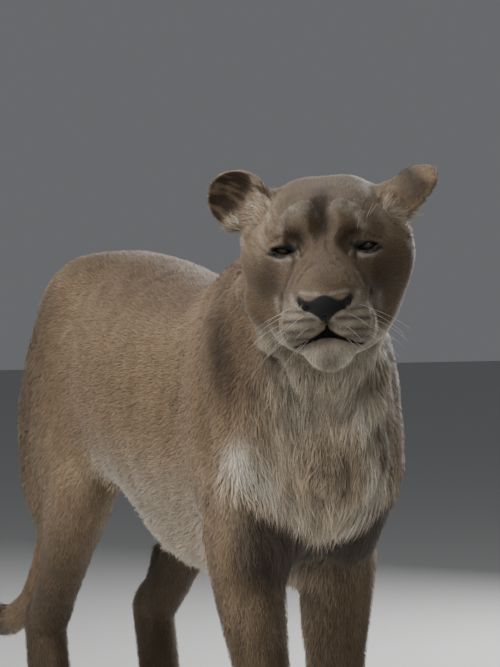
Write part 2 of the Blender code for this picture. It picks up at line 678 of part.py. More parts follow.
flesh = build_flesh(0.014, fine=False)
points, quads = surface_net(flesh, (-0.32, -1.02, -0.06), (0.30, 1.20, 1.22), 0.0068)
points = settle(flesh, points, 2, 0.004)
bm = bmesh.new()
at = [bm.verts.new(p) for p in points.tolist()]
for q in quads.tolist():
    bm.faces.new([at[i] for i in q])
bmesh.ops.recalc_face_normals(bm, faces=bm.faces)
bm = thinned(only_largest(bm), TRIANGLES)
# all four soles flat on the floor
r = bmesh.ops.bisect_plane(bm, geom=bm.verts[:] + bm.edges[:] + bm.faces[:], plane_co=(0, 0, 0), plane_no=(0, 0, -1), clear_outer=True, dist=1e-6)
bmesh.ops.edgeloop_fill(bm, edges=[e for e in r["geom_cut"] if isinstance(e, bmesh.types.BMEdge)])
body = new_object("body", tidy(bm))


def take(name, cutter_for, colour=(0.45, 0.33, 0.20), roughness=0.85):
    """Part a node off the body: cutter_for(grow) makes the cutter, a little larger for what is left behind."""
    global body
    inner = cutter_for(-GAP)
    piece = tidy(parted(body, inner, "inside"))
    bpy.data.objects.remove(inner, do_unlink=True)
    outer = cutter_for(GAP)
    rest = tidy(parted(body, outer, "outside"))
    bpy.data.objects.remove(outer, do_unlink=True)
    bpy.data.objects.remove(body, do_unlink=True)
    body = new_object("body", rest)
    return new_object(name, piece, colour, roughness)


def block(u0, u1, v0, v1, w0, w1, rotation, at):
    """A cutter with its faces at the given distances along its own three axes."""
    def make(g):
        return placed(prism([(v0 - g, w0 - g), (v1 + g, w0 - g), (v1 + g, w1 + g), (v0 - g, w1 + g)], "X", u0 - g, u1 + g), rotation, at)
    return make


def grown(outline, g):
    """A convex outline moved outwards by g."""
    pts = [np.array(p, float) for p in outline]
    mid = sum(pts) / len(pts)
    n = len(pts)
    lines = []
    for i in range(n):
        a, b = pts[i], pts[(i + 1) % n]
        t = unit(b - a)
        k = np.array((t[1], -t[0]))
        k = k if k @ (a - mid) > 0 else -k
        lines.append((k, k @ a + g))
    out = []
    for i in range(n):
        (k1, c1), (k2, c2) = lines[i - 1], lines[i]
        out.append(tuple(np.linalg.solve(np.array((k1, k2)), np.array((c1, c2)))))
    return out


def slab(outline, axis, low, high):
    def make(g):
        return prism(grown(outline, g), axis, low - g, high + g)
    return make


PALE, DARK = (0.62, 0.52, 0.38), (0.03, 0.025, 0.02)

# --- eyes: whole balls, seen between the lids
for side, s in (("right", -1), ("left", 1)):
    at = in_head(s * EYE_GAP, 0, 0)
    hole = ball(at, EYE_R + 2 * GAP)
    rest = tidy(parted(body, hole, "outside"))
    bpy.data.objects.remove(hole, do_unlink=True)
    bpy.data.objects.remove(body, do_unlink=True)
    body = new_object("body", rest)
    eye = ball(at, EYE_R, "eye_" + side)
    eye.data.materials.clear()
    eye.data.materials.append(coloured("eye_%s_glass" % side, (0.10, 0.05, 0.015), 0.15))

# --- ears, cut where they leave the skull
for side, s, out, face in EARS:
    root, out_, through, across = ear_axes(s, out, face)
    rot = np.stack([across, out_, through], axis=1)
    take("ear_" + side, block(-0.075, 0.075, 0.004, 0.12, -0.052, 0.045, rot, root))

# --- nose leather, lower jaw, head, neck
leather = [(-0.036, -0.046), (0.036, -0.046), (0.038, -0.068), (0.014, -0.090), (-0.014, -0.090), (-0.038, -0.068)]
take("nose_pad", lambda g: placed(prism(grown(leather, g), "Y", 0.104 - g, 0.18 + g), HEAD, EYES_AT), DARK, 0.45)


def jaw_cutter(g):
    """A wedge under the line of the mouth, which is high at the lips' centre and lower at both corners."""
    roof = grown([(0, -0.104), (-0.075, -0.158), (-0.075, -0.30), (0.075, -0.30), (0.075, -0.158)], g)
    return placed(prism(roof, "Y", -0.035 - g, 0.20 + g), HEAD, EYES_AT)


take("lower_jaw", jaw_cutter, PALE)
take("head", block(-0.25, 0.25, -0.118, 0.30, -0.190, 0.30, HEAD, EYES_AT))
collar = axes((-0.10, -0.77, 0.63), (1, 0, 0))
take("neck", block(-0.40, 0.40, -0.45, 0.45, 0.0, 0.60, collar, (0, -0.505, 0.880)))

# --- forelegs
for side, s, back, front, elbow_y, inner in (("right", -1, -0.395, -0.640, -0.485, ((0.050, 0.60), (0.004, 0.10))), ("left", 1, -0.280, -0.520, -0.370, ((0.050, 0.60), (0.030, 0.10)))):
    (x1, z1), (x2, z2) = inner
    edge = [(s * x1, z1), (s * 0.30, z1), (s * 0.30, -0.05), (s * (x2 + (x2 - x1) * 0.3), -0.05)]
    low, high = (front - 0.12, back)
    leg = take("leg", slab(edge, "Y", low, high))
    bm = bmesh.new()
    bm.from_mesh(leg.data)
    bpy.data.objects.remove(leg, do_unlink=True)
    paw, rest = split(bm, (0, 0, 0.100), (0, 0, 1))
    fore, upper = split(rest, (0, elbow_y, 0.480), (0, 0.35, 1))
    new_object("forepaw_" + side, paw)
    new_object("forearm_" + side, fore)
    new_object("upper_arm_" + side, upper)

# --- hind legs
for side, s in (("right", -1), ("left", 1)):
    low, high = sorted((s * GAP * 2, s * 0.40))
    leg = take("leg", slab([(0.085, -0.05), (0.085, 0.585), (0.27, 0.700), (0.645, 0.715), (0.645, -0.05)], "X", low, high))
    bm = bmesh.new()
    bm.from_mesh(leg.data)
    bpy.data.objects.remove(leg, do_unlink=True)
    paw, rest = split(bm, (0, 0, 0.095), (0, 0, 1))
    shank, thigh = split(rest, (0, 0.30, 0.50), (0, 0.25, 1))
    new_object("hindpaw_" + side, paw)
    new_object("hindleg_" + side, shank)
    new_object("thigh_" + side, thigh)

# --- tail, in four lengths
path = [np.array(p) for p in tail_path()]
tail_ob = take("tail", slab([(0.638, 0.10), (1.30, 0.10), (1.30, 0.96), (0.638, 0.96)], "X", -0.20, 0.20))
bm = bmesh.new()
bm.from_mesh(tail_ob.data)
bpy.data.objects.remove(tail_ob, do_unlink=True)
for name, i in (("tail_base", 3), ("tail_middle", 5), ("tail_end", 7)):
    piece, bm = split(bm, path[i], path[i + 1] - path[i - 1])
    new_object(name, piece)
new_object("tail_tuft", bm, (0.10, 0.08, 0.06))

# --- the trunk, in three
bm = bmesh.new()
bm.from_mesh(body.data)
bpy.data.objects.remove(body, do_unlink=True)
chest, bm = split(bm, (0, -0.130, 0.75), (0, 1, 0.12))
belly, rump = split(bm, (0, 0.170, 0.75), (0, 1, -0.10))
for name, piece in (("chest", chest), ("belly", belly), ("rump", rump)):
    new_object(name, piece)

# --- the middle of the whole stands at the origin
corners = np.array([v.co[:] for ob in bpy.context.scene.objects for v in ob.data.vertices])
middle = (corners.min(0) + corners.max(0)) / 2
for ob in bpy.context.scene.objects:
    for v in ob.data.vertices:
        v.co.x -= middle[0]
        v.co.y -= middle[1]
    ob.data.update()
print("middle", middle, "low", corners.min(0), "high", corners.max(0))
for ob in sorted(bpy.context.scene.objects, key=lambda o: o.name):
    print(ob.name, len(ob.data.polygons))
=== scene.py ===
"""The looks of the standing lioness: one skin over all the flesh, the eyes, whiskers, and a coat of short tufts."""
import math

import bpy
import bmesh
from mathutils import Matrix, Vector
from mathutils.bvhtree import BVHTree
import math
import numpy as np


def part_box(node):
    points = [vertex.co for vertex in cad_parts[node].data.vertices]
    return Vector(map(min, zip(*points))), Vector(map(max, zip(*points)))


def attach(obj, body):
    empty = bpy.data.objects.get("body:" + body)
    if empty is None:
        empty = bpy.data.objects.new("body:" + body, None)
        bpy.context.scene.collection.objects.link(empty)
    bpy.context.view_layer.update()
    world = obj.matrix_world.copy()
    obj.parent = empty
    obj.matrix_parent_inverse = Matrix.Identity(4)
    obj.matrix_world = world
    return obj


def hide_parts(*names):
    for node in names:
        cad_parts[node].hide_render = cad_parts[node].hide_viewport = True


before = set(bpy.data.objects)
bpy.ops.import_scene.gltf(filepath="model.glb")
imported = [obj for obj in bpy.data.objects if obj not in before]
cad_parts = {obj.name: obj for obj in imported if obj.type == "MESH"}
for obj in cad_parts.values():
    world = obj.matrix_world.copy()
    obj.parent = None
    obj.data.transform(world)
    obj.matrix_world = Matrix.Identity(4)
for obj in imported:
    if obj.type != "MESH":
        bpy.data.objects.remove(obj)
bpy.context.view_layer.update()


WITHERS = 1.00          # shoulder height of the living animal, metres
HEAD_YAW = 26.0         # degrees, head turned to its own right
HEAD_PITCH = 9.0        # degrees, nose carried a little low
HEAD_ROLL = 3.4         # degrees, left ear a little higher
EYES_AT = (-0.108, -0.800, 1.010)   # midpoint between the eyeballs
EYE_GAP = 0.0605        # half the distance between the eyeball centres
EYE_R = 0.0185


def vec(*a):
    return np.array(a, float)


def unit(v):
    v = np.asarray(v, float)
    return v / max(np.linalg.norm(v), 1e-12)


def axes(along, hint):
    """Three unit columns: across (nearest the hint), the third, and along."""
    w = unit(along)
    u = unit(np.asarray(hint, float) - w * np.dot(hint, w))
    return np.stack([u, np.cross(w, u), w], axis=1)


def turn(yaw, pitch, roll):
    """Head axes as columns: its left, its forward, its up."""
    y, p, r = (math.radians(a) for a in (yaw, pitch, roll))
    fwd = vec(-math.sin(y) * math.cos(p), -math.cos(y) * math.cos(p), -math.sin(p))
    left = unit(np.cross(fwd, (0, 0, 1)))
    left = -left if left[0] < 0 else left
    up = np.cross(left, -fwd)
    up = up if up[2] > 0 else -up
    c, s = math.cos(r), math.sin(r)
    return np.stack([left * c + up * s, fwd, up * c - left * s], axis=1)


HEAD = turn(HEAD_YAW, HEAD_PITCH, HEAD_ROLL)


def in_head(*p):
    return HEAD @ np.asarray(p, float) + np.asarray(EYES_AT)


def smooth_min(a, b, k):
    h = np.maximum(k - np.abs(a - b), 0) / k
    return np.minimum(a, b) - h * h * k * 0.25


def smooth_max(a, b, k):
    return -smooth_min(-a, -b, k)


def smooth_step(e0, e1, x):
    t = np.clip((x - e0) / (e1 - e0), 0, 1)
    return t * t * (3 - 2 * t)


# A shape is (bounds, function of points). Bounds let far points be skipped.
def ellipsoid(c, r, rot=np.eye(3)):
    c, r, rot = np.asarray(c, float), np.asarray(r, float), np.asarray(rot, float)
    reach = np.sqrt(((rot * r) ** 2).sum(1))

    def f(p):
        q = (p - c) @ rot / r
        k0 = np.sqrt((q * q).sum(1)) + 1e-9
        k1 = np.sqrt(((q / r) ** 2).sum(1)) + 1e-9
        return k0 * (k0 - 1) / k1

    return (c - reach, c + reach), f


def spindle(a, b, across, other, hint=(1, 0, 0), more=1.0):
    """An ellipsoid from a to b, its half width near the hint's direction and its other half width given."""
    a, b = np.asarray(a, float), np.asarray(b, float)
    return ellipsoid((a + b) / 2, (across, other, np.linalg.norm(b - a) / 2 * more), axes(b - a, hint))


def cone(a, b, ra, rb):
    """Two balls and the cone round them."""
    a, b = np.asarray(a, float), np.asarray(b, float)
    ba = b - a
    l2 = ba @ ba
    rr = ra - rb
    a2 = l2 - rr * rr
    il2 = 1 / l2

    def f(p):
        pa = p - a
        y = pa @ ba
        z = y - l2
        x = pa * l2 - y[:, None] * ba
        x2 = (x * x).sum(1)
        y2 = y * y * l2
        z2 = z * z * l2
        k = math.copysign(1, rr) * rr * rr * x2
        one = np.sqrt(x2 + z2) * il2 - rb
        two = np.sqrt(x2 + y2) * il2 - ra
        three = (np.sqrt(x2 * a2 * il2) + y * rr) * il2 - ra
        return np.where(np.sign(z) * a2 * z2 > k, one, np.where(np.sign(y) * a2 * y2 < k, two, three))

    r = max(ra, rb)
    return (np.minimum(a, b) - r, np.maximum(a, b) + r), f


def fair(rows, steps):
    """Catmull-Rom through rows of numbers."""
    rows = np.asarray(rows, float)
    ends = np.concatenate([[2 * rows[0] - rows[1]], rows, [2 * rows[-1] - rows[-2]]])
    out = []
    for i in range(len(rows) - 1):
        p0, p1, p2, p3 = ends[i : i + 4]
        for t in np.arange(steps) / steps:
            out.append(0.5 * (2 * p1 + (p2 - p0) * t + (2 * p0 - 5 * p1 + 4 * p2 - p3) * t * t + (3 * p1 - p0 - 3 * p2 + p3) * t**3))
    out.append(rows[-1])
    return np.array(out)


def loft(rows, hint, steps=5, cap=1.0):
    """A tube through rows of (x, y, z, up, down, side): the radii towards the hint, away from it, and to both sides."""
    s = fair(rows, steps)
    c = s[:, :3]
    radii = np.maximum(s[:, 3:6], 0.002)
    seg = c[1:] - c[:-1]
    seg2 = (seg * seg).sum(1)
    tan = np.gradient(c, axis=0)
    tan /= np.linalg.norm(tan, axis=1)[:, None]
    hint = np.asarray(hint, float)
    up = hint - tan * (tan @ hint)[:, None]
    up /= np.linalg.norm(up, axis=1)[:, None]
    side = np.cross(tan, up)
    reach = radii.max(1)[:, None]
    lo, hi = (c - reach).min(0), (c + reach).max(0)

    def f(p):
        d2 = (p * p).sum(1)[:, None] - 2 * p @ c.T + (c * c).sum(1)
        near = d2.argmin(1)
        best = None
        for shift in (-1, 0):
            i = np.clip(near + shift, 0, len(seg) - 1)
            t = ((p - c[i]) * seg[i]).sum(1) / seg2[i]
            tc = np.clip(t, 0, 1)
            q = c[i] + seg[i] * tc[:, None]
            d = ((p - q) ** 2).sum(1)
            if best is None:
                best = [d, i, tc, t]
            else:
                m = d < best[0]
                best = [np.where(m, d, best[0]), np.where(m, i, best[1]), np.where(m, tc, best[2]), np.where(m, t, best[3])]
        _, i, t, raw = best
        w = t[:, None]
        q = c[i] * (1 - w) + c[i + 1] * w
        tt = tan[i] * (1 - w) + tan[i + 1] * w
        uu = up[i] * (1 - w) + up[i + 1] * w
        ss = side[i] * (1 - w) + side[i + 1] * w
        rr = radii[i] * (1 - w) + radii[i + 1] * w
        o = p - q
        a, b, e = (o * uu).sum(1), (o * ss).sum(1), (o * tt).sum(1)
        ends = ((i == 0) & (raw < 0)) | ((i == len(seg) - 1) & (raw > 1))
        e = np.where(ends, e, 0)
        ra = np.where(a > 0, rr[:, 0], rr[:, 1])
        rb = rr[:, 2]
        re = np.minimum(np.minimum(rr[:, 0], rr[:, 1]), rb) * cap
        k0 = np.sqrt((a / ra) ** 2 + (b / rb) ** 2 + (e / re) ** 2) + 1e-9
        k1 = np.sqrt((a / ra**2) ** 2 + (b / rb**2) ** 2 + (e / re**2) ** 2) + 1e-9
        return np.where(k0 < 0.05, -rr.min(1), k0 * (k0 - 1) / k1)

    return (lo, hi), f


# ---------------------------------------------------------------- the animal
class Flesh:
    """Masses joined one after another, each with its own blend: a field of distances, negative inside."""

    def __init__(self):
        self.steps = []

    def add(self, shape, blend, name=""):
        self.steps.append((shape, blend, False, name))

    def cut(self, shape, blend, name=""):
        self.steps.append((shape, blend, True, name))

    def __call__(self, p, far=0.05):
        f = np.full(len(p), 0.5)
        for ((low, high), g), k, hollow, _ in self.steps:
            m = k + far
            i = np.nonzero(((p > low - m) & (p < high + m)).all(1))[0]
            if len(i):
                d = g(p[i])
                f[i] = smooth_max(f[i], -d, k) if hollow else smooth_min(f[i], d, k)
        return f


def trunk(flesh):
    rows = [
        (0, -0.600, 0.685, 0.090, 0.085, 0.072),
        (0, -0.555, 0.695, 0.150, 0.145, 0.112),
        (0, -0.470, 0.715, 0.212, 0.205, 0.138),
        (0, -0.370, 0.730, 0.235, 0.235, 0.152),
        (0, -0.220, 0.738, 0.218, 0.242, 0.170),
        (0, -0.080, 0.748, 0.206, 0.230, 0.184),
        (0, 0.060, 0.765, 0.205, 0.200, 0.184),
        (0, 0.180, 0.790, 0.200, 0.165, 0.172),
        (0, 0.300, 0.810, 0.190, 0.160, 0.150),
        (0, 0.410, 0.830, 0.166, 0.150, 0.125),
        (0, 0.500, 0.838, 0.125, 0.120, 0.098),
        (0, 0.560, 0.828, 0.085, 0.090, 0.065),
    ]
    flesh.add(loft(rows, (0, 0, 1)), 0.01, name="trunk")
    flesh.add(ellipsoid((-0.015, -0.560, 0.770), (0.085, 0.070, 0.120)), 0.08, name="trunk")
    # loose skin under the chest and belly
    flesh.add(spindle((0, -0.34, 0.520), (0, 0.04, 0.555), 0.085, 0.045, (1, 0, 0), 1.15), 0.08, name="belly")


def foreleg(flesh, s, shoulder_y, elbow, wrist, paw, paw_yaw, spread=1.0, stout=1.0):
    """One foreleg on side s, with its joints given."""
    x, sy = s * spread, shoulder_y
    flesh.add(spindle((x * 0.060, sy + 0.175, 0.965), (x * 0.126, sy + 0.005, 0.68), 0.052, 0.095, (1, 0, 0), 1.08), 0.07, name="scapula")
    flesh.add(ellipsoid((x * 0.116, sy + 0.055, 0.80), (0.048, 0.075, 0.095)), 0.06, name="shoulder_top")
    flesh.add(ellipsoid((x * 0.110, sy + 0.005, 0.675), (0.054, 0.060, 0.085)), 0.05, name="shoulder")
    e = vec(*elbow)
    flesh.add(spindle((x * 0.112, sy + 0.15, 0.80), e + (0, 0.035, 0.02), 0.050, 0.088, (1, 0, 0), 1.1), 0.05, name="triceps")
    flesh.add(spindle((x * 0.108, sy, 0.68), e + (0, -0.01, -0.02), 0.050, 0.060, (1, 0, 0), 1.15), 0.05, name="arm")
    flesh.add(spindle((x * 0.035, -0.580, 0.69), (x * 0.080, -0.500, 0.525), 0.050, 0.048, (1, 0, 0), 1.1), 0.05, name="pectoral")
    w, h = vec(*wrist), vec(*paw)
    d = w - e
    rows = [
        (*(e + d * -0.10), 0.052, 0.062, 0.054),
        (*(e + d * 0.06), 0.058, 0.066, 0.058),
        (*(e + d * 0.22), 0.054, 0.060, 0.055),
        (*(e + d * 0.50), 0.043, 0.046, 0.046),
        (*(e + d * 0.80), 0.038, 0.039, 0.042),
        (*w, 0.041, 0.040, 0.045),
        (*(w * 0.45 + (h + (0, 0, 0.06)) * 0.55), 0.037, 0.037, 0.043),
        (*(h + (0, 0.0, 0.052)), 0.034, 0.034, 0.045),
    ]
    rows = [(*r[:5], r[5] * stout) for r in rows]
    flesh.add(loft(rows, (0, -1, 0.0)), 0.035, name="forearm")
    flesh.add(ellipsoid(e + (0, 0.048, 0.028), (0.032, 0.032, 0.040)), 0.035, name="elbow")
    paw_shape(flesh, h, paw_yaw, 1.0)


def paw_shape(flesh, at, yaw, size):
    """A paw standing at a point on the floor, with four toes."""
    a = math.radians(yaw)
    fwd = vec(-math.sin(a), -math.cos(a), 0)
    left = vec(math.cos(a), -math.sin(a), 0)
    rot = np.stack([left, -fwd, vec(0, 0, 1)], axis=1)
    at = np.asarray(at, float)

    def p(u, v, w):
        return at + left * u * size + fwd * v * size + vec(0, 0, w * size)

    flesh.add(ellipsoid(p(0, 0.018, 0.034), (0.051 * size, 0.066 * size, 0.041 * size), rot), 0.035, name="paw")
    for u, v, ww, ll in ((-0.041, 0.060, 0.0205, 0.036), (-0.0150, 0.080, 0.0215, 0.038), (0.0150, 0.080, 0.0215, 0.038), (0.041, 0.060, 0.0205, 0.036)):
        flesh.add(ellipsoid(p(u, v, 0.024), (ww * size, ll * size, 0.030 * size), rot), 0.012, name="toe")


def hindleg(flesh, s, knee, hock, foot, paw_yaw):
    k, t, h = vec(*knee), vec(*hock), vec(*foot)
    flesh.add(ellipsoid((s * 0.070, 0.37, 0.895), (0.064, 0.135, 0.085)), 0.06, name="rump")
    flesh.add(spindle((s * 0.090, 0.33, 0.87), k + (0, 0.01, 0.0), 0.064, 0.100, (1, 0, 0), 1.12), 0.06, name="thigh_front")
    flesh.add(spindle((s * 0.088, 0.44, 0.88), k * 0.6 + t * 0.4 + (0, 0.01, 0.05), 0.074, 0.132, (1, 0, 0), 1.1), 0.06, name="thigh")
    flesh.add(spindle((s * 0.078, 0.520, 0.85), k * 0.45 + t * 0.55 + (0, 0.03, 0.05), 0.062, 0.080, (1, 0, 0), 1.12), 0.05, name="hamstring")
    d = t - k
    rows = [
        (*(k + d * -0.06), 0.050, 0.060, 0.055),
        (*(k + d * 0.10), 0.052, 0.068, 0.056),
        (*(k + d * 0.35), 0.044, 0.060, 0.048),
        (*(k + d * 0.65), 0.038, 0.046, 0.041),
        (*(k + d * 0.88), 0.038, 0.040, 0.039),
        (*t, 0.042, 0.042, 0.041),
        (*(t * 0.72 + h * 0.28), 0.041, 0.041, 0.041),
        (*(t * 0.35 + h * 0.65), 0.037, 0.037, 0.040),
        (*(h + (0, 0.012, 0.050)), 0.037, 0.037, 0.043),
    ]
    flesh.add(loft(rows, (0, -1, 0.25)), 0.04, name="shank")
    heel = t + (0, 0.024, 0.022)
    flesh.add(cone(t + (0, -0.036, 0.125), heel, 0.018, 0.019), 0.035, name="tendon")
    flesh.add(ellipsoid(heel, (0.020, 0.020, 0.032)), 0.035, name="heel")
    # the fold of skin from the knee to the flank
    flesh.add(spindle(k + (-s * 0.010, 0.03, 0.06), (s * 0.118, 0.07, 0.720), 0.022, 0.045, (1, 0, 0), 1.1), 0.07, name="flank_fold")
    paw_shape(flesh, h, paw_yaw, 0.94)


def neck(flesh):
    back = in_head(0, -0.115, -0.035)
    rows = [
        (0.000, -0.330, 0.820, 0.150, 0.150, 0.120),
        (-0.015, -0.440, 0.850, 0.135, 0.170, 0.128),
        (-0.045, -0.550, 0.890, 0.118, 0.165, 0.122),
        (*(vec(-0.045, -0.550, 0.890) * 0.45 + back * 0.55), 0.100, 0.150, 0.112),
        (*back, 0.095, 0.110, 0.100),
    ]
    flesh.add(loft(rows, (0, 0.0, 1)), 0.06, name="neck")


def tail_path():
    return [(0, 0.53, 0.905), (-0.002, 0.610, 0.850), (-0.005, 0.668, 0.740), (-0.008, 0.700, 0.610), (-0.012, 0.735, 0.480),
            (-0.016, 0.785, 0.380), (-0.020, 0.865, 0.300), (-0.026, 0.970, 0.250), (-0.032, 1.075, 0.240)]


def tail(flesh):
    r = (0.046, 0.041, 0.036, 0.033, 0.031, 0.030, 0.028, 0.030, 0.026)
    rows = [(*p, q, q, q) for p, q in zip(tail_path(), r)]
    flesh.add(loft(rows, (0, 1, 0.6)), 0.04, name="tail")


def head(flesh, ear_thick, fine):
    def put(shape, k, kind="add", name="head"):
        (flesh.add if kind == "add" else flesh.cut)(shape, k, name=name)

    def ball(u, v, w, a, b, c, tilt=0.0, fan=0.0, lean=0.0):
        """An ellipsoid in head terms (left, forward, up), tilted about the left axis, fanned about the up axis, leaned about the forward axis."""
        t, n, q = (math.radians(d) for d in (tilt, fan, lean))
        rx = np.array([[1, 0, 0], [0, math.cos(t), -math.sin(t)], [0, math.sin(t), math.cos(t)]])
        rz = np.array([[math.cos(n), -math.sin(n), 0], [math.sin(n), math.cos(n), 0], [0, 0, 1]])
        ry = np.array([[math.cos(q), 0, math.sin(q)], [0, 1, 0], [-math.sin(q), 0, math.cos(q)]])
        return ellipsoid(in_head(u, v, w), (a, b, c), HEAD @ rz @ ry @ rx)

    def rod(a, b, ra, rb):
        return cone(in_head(*a), in_head(*b), ra, rb)

    for s in (-1, 1):
        put(ball(s * 0.034, -0.080, 0.006, 0.058, 0.105, 0.080), 0.05)                # braincase
    put(ball(0, -0.015, 0.026, 0.070, 0.055, 0.044), 0.04)                            # forehead
    for s in (-1, 1):
        put(ball(s * 0.083, -0.050, -0.026, 0.043, 0.058, 0.050), 0.04)               # cheek bone
        put(ball(s * 0.062, -0.054, -0.083, 0.038, 0.062, 0.048), 0.04)               # jaw muscle
        put(ball(s * 0.042, -0.032, -0.118, 0.036, 0.066, 0.036), 0.04)               # lower cheek
        put(ball(s * 0.050, -0.002, -0.020, 0.040, 0.028, 0.034), 0.03)               # round the eye
    put(ball(0, 0.046, -0.016, 0.032, 0.070, 0.026, -28), 0.025)                      # bridge of the nose
    put(ball(0, 0.092, -0.044, 0.032, 0.032, 0.022, -24), 0.02)
    for s in (-1, 1):
        put(ball(s * 0.034, 0.040, -0.062, 0.032, 0.066, 0.042, -6, s * 8), 0.03)     # side of the muzzle
        put(ball(s * 0.036, 0.080, -0.093, 0.032, 0.040, 0.031, 0, s * 20, s * 12), 0.010)  # whisker pad
        put(ball(s * 0.048, 0.054, -0.112, 0.020, 0.038, 0.022, 0, s * 14), 0.014)          # corner of the lips
    put(ball(0, 0.012, -0.124, 0.050, 0.078, 0.033), 0.03)                            # lower jaw
    put(ball(0, 0.073, -0.137, 0.032, 0.031, 0.024), 0.018)                           # chin
    for s in (-1, 1):
        put(ball(s * 0.026, 0.010, 0.046, 0.018, 0.018, 0.021), 0.016)                # frontal swelling
        put(ball(s * 0.056, 0.004, 0.030, 0.025, 0.020, 0.015, 0, -s * 14, s * 14), 0.016)  # brow
        put(ball(s * 0.038, 0.036, 0.010, 0.010, 0.012, 0.012), 0.02, "cut")          # hollow above the inner corner
    put(ball(0, 0.047, 0.052, 0.007, 0.022, 0.030), 0.020, "cut")                     # furrow of the forehead
    nose(put, ball, rod, fine)
    for s in (-1, 1):
        eye_folds(put, ball, rod, s)
    if fine:
        mouth(put, ball, rod)
    for _, s, out, face in EARS:
        ear(put, rod, s, out, face, ear_thick, fine)


def nose(put, ball, rod, fine):
    put(ball(0, 0.114, -0.066, 0.024, 0.016, 0.022, -10), 0.012, name="nose")
    for s in (-1, 1):
        put(ball(s * 0.024, 0.108, -0.063, 0.015, 0.016, 0.013, 0, 0, s * 10), 0.008, name="nose")
        if fine:
            put(rod((s * 0.020, 0.128, -0.068), (s * 0.034, 0.116, -0.062), 0.0045, 0.0035), 0.004, "cut", name="nostril")


def eye_folds(put, ball, rod, s):
    c = (s * EYE_GAP, 0, 0)
    put(ball(c[0], c[1] - 0.001, c[2], 0.0235, 0.0225, 0.0215), 0.012, name="lid")
    # the opening between the lids: two broad balls meeting in an almond, its outer corner higher
    lift = 0.0215
    tip = s * 0.20
    high, low = (ball(c[0] - dz * tip, 0.020, c[2] + dz, 0.0272, 0.5, 0.0272) for dz in (-lift, lift))
    front = ball(c[0], 0.032, c[2], 0.030, 0.030, 0.030)

    def almond(p):
        return np.maximum(np.maximum(high[1](p), low[1](p)), front[1](p))

    put((front[0], almond), 0.003, "cut", name="eye_opening")


def mouth(put, ball, rod):
    put(rod((0, 0.124, -0.086), (0, 0.118, -0.100), 0.0018, 0.0024), 0.006, "cut")


EARS = (("right", -1, (-0.80, -0.10, 0.60), (-0.25, 0.93, -0.10)), ("left", 1, (0.74, -0.10, 0.66), (0.55, -0.35, -0.70)))


def ear_axes(s, out, face):
    """Where an ear stands, and its directions: out to the tip, through to its open side, across."""
    out = HEAD @ unit(out)
    face = HEAD @ np.asarray(face, float)
    through = unit(face - out * (face @ out))
    return in_head(s * 0.100, -0.080, 0.046), out, through, np.cross(through, out)


def ear(put, rod, s, out, face, thick, fine):
    """A cupped leaf: a bowl-shaped sheet with a rounded outline, and the fold of skin along its front edge."""
    root, out, through, across = ear_axes(s, out, face)
    centre = root + out * 0.030
    half_w, half_l, depth = 0.047, 0.047, 0.030

    def f(p):
        d = p - centre
        a, b, c = d @ across, d @ out, d @ through
        r2 = (a / half_w) ** 2 + (b / half_l) ** 2
        bowl = depth * (np.minimum(r2, 2.0) - 1) + 0.010
        slope = np.sqrt(1 + 4 * depth * depth * np.minimum((a / half_w**2) ** 2 + (b / half_l**2) ** 2, 1200.0))
        sheet = np.abs(c - bowl) / slope - thick / 2
        r = np.sqrt(r2) + 1e-9
        rim = r * (r - 1) / (np.sqrt((a / half_w**2) ** 2 + (b / half_l**2) ** 2) + 1e-9)
        return smooth_max(sheet, rim, thick * 0.6)

    reach = 0.080
    put(((centre - reach, centre + reach), f), 0.012, name="ear")
    put(ellipsoid(root - through * 0.012 - out * 0.012, (0.036, 0.022, 0.030), axes(out, across)), 0.02)
    if fine:
        put(rod((s * 0.128, -0.040, 0.012), (s * 0.088, -0.045, 0.062), 0.006, 0.007), 0.014)


def build_flesh(ear_thick=0.012, fine=True):
    flesh = Flesh()
    trunk(flesh)
    foreleg(flesh, 1, -0.485, (0.100, -0.370, 0.520), (0.092, -0.375, 0.190), (0.094, -0.395, 0.0), 6, 0.88, 1.13)
    foreleg(flesh, -1, -0.545, (-0.106, -0.485, 0.530), (-0.070, -0.540, 0.190), (-0.066, -0.565, 0.0), 6)
    hindleg(flesh, 1, (0.138, 0.250, 0.570), (0.122, 0.540, 0.305), (0.125, 0.478, 0.0), 8)
    hindleg(flesh, -1, (-0.138, 0.190, 0.570), (-0.132, 0.425, 0.305), (-0.128, 0.375, 0.0), 8)
    neck(flesh)
    tail(flesh)
    head(flesh, ear_thick, fine)
    return flesh


# ---------------------------------------------------------------- from distances to a mesh
def settle(f, p, rounds, most):
    """Move points down the field's slope onto its zero surface."""
    h = 0.0015
    for _ in range(rounds):
        d = f(p)
        g = np.stack([f(p + np.eye(3)[i] * h) - d for i in range(3)], 1) / h
        step = np.clip(d / np.maximum((g * g).sum(1), 0.25), -most, most)
        p = p - g * step[:, None]
    return p


def unpinch(field, least):
    """Where the inside meets itself only corner to corner across a grid square, move the nearest corner to the other side."""
    for _ in range(12):
        changed = 0
        for a, b in ((0, 1), (1, 2), (0, 2)):
            ea, eb = np.eye(3, dtype=int)[a], np.eye(3, dtype=int)[b]
            n = np.array(field.shape) - ea - eb
            q = [field[tuple(slice(o[i], o[i] + n[i]) for i in range(3))] for o in (0 * ea, ea, ea + eb, eb)]
            s = [x < 0 for x in q]
            square = (s[0] == s[2]) & (s[1] == s[3]) & (s[0] != s[1]) & ~np.isnan(q[0] + q[1] + q[2] + q[3])
            for at in np.argwhere(square):
                corners = [tuple(at + o) for o in (0 * ea, ea, ea + eb, eb)]
                v = [field[c] for c in corners]
                if (v[0] < 0) == (v[2] < 0) and (v[1] < 0) == (v[3] < 0) and (v[0] < 0) != (v[1] < 0):
                    k = int(np.argmin(np.abs(v)))
                    field[corners[k]] = -math.copysign(least, v[k])
                    changed += 1
        if not changed:
            break


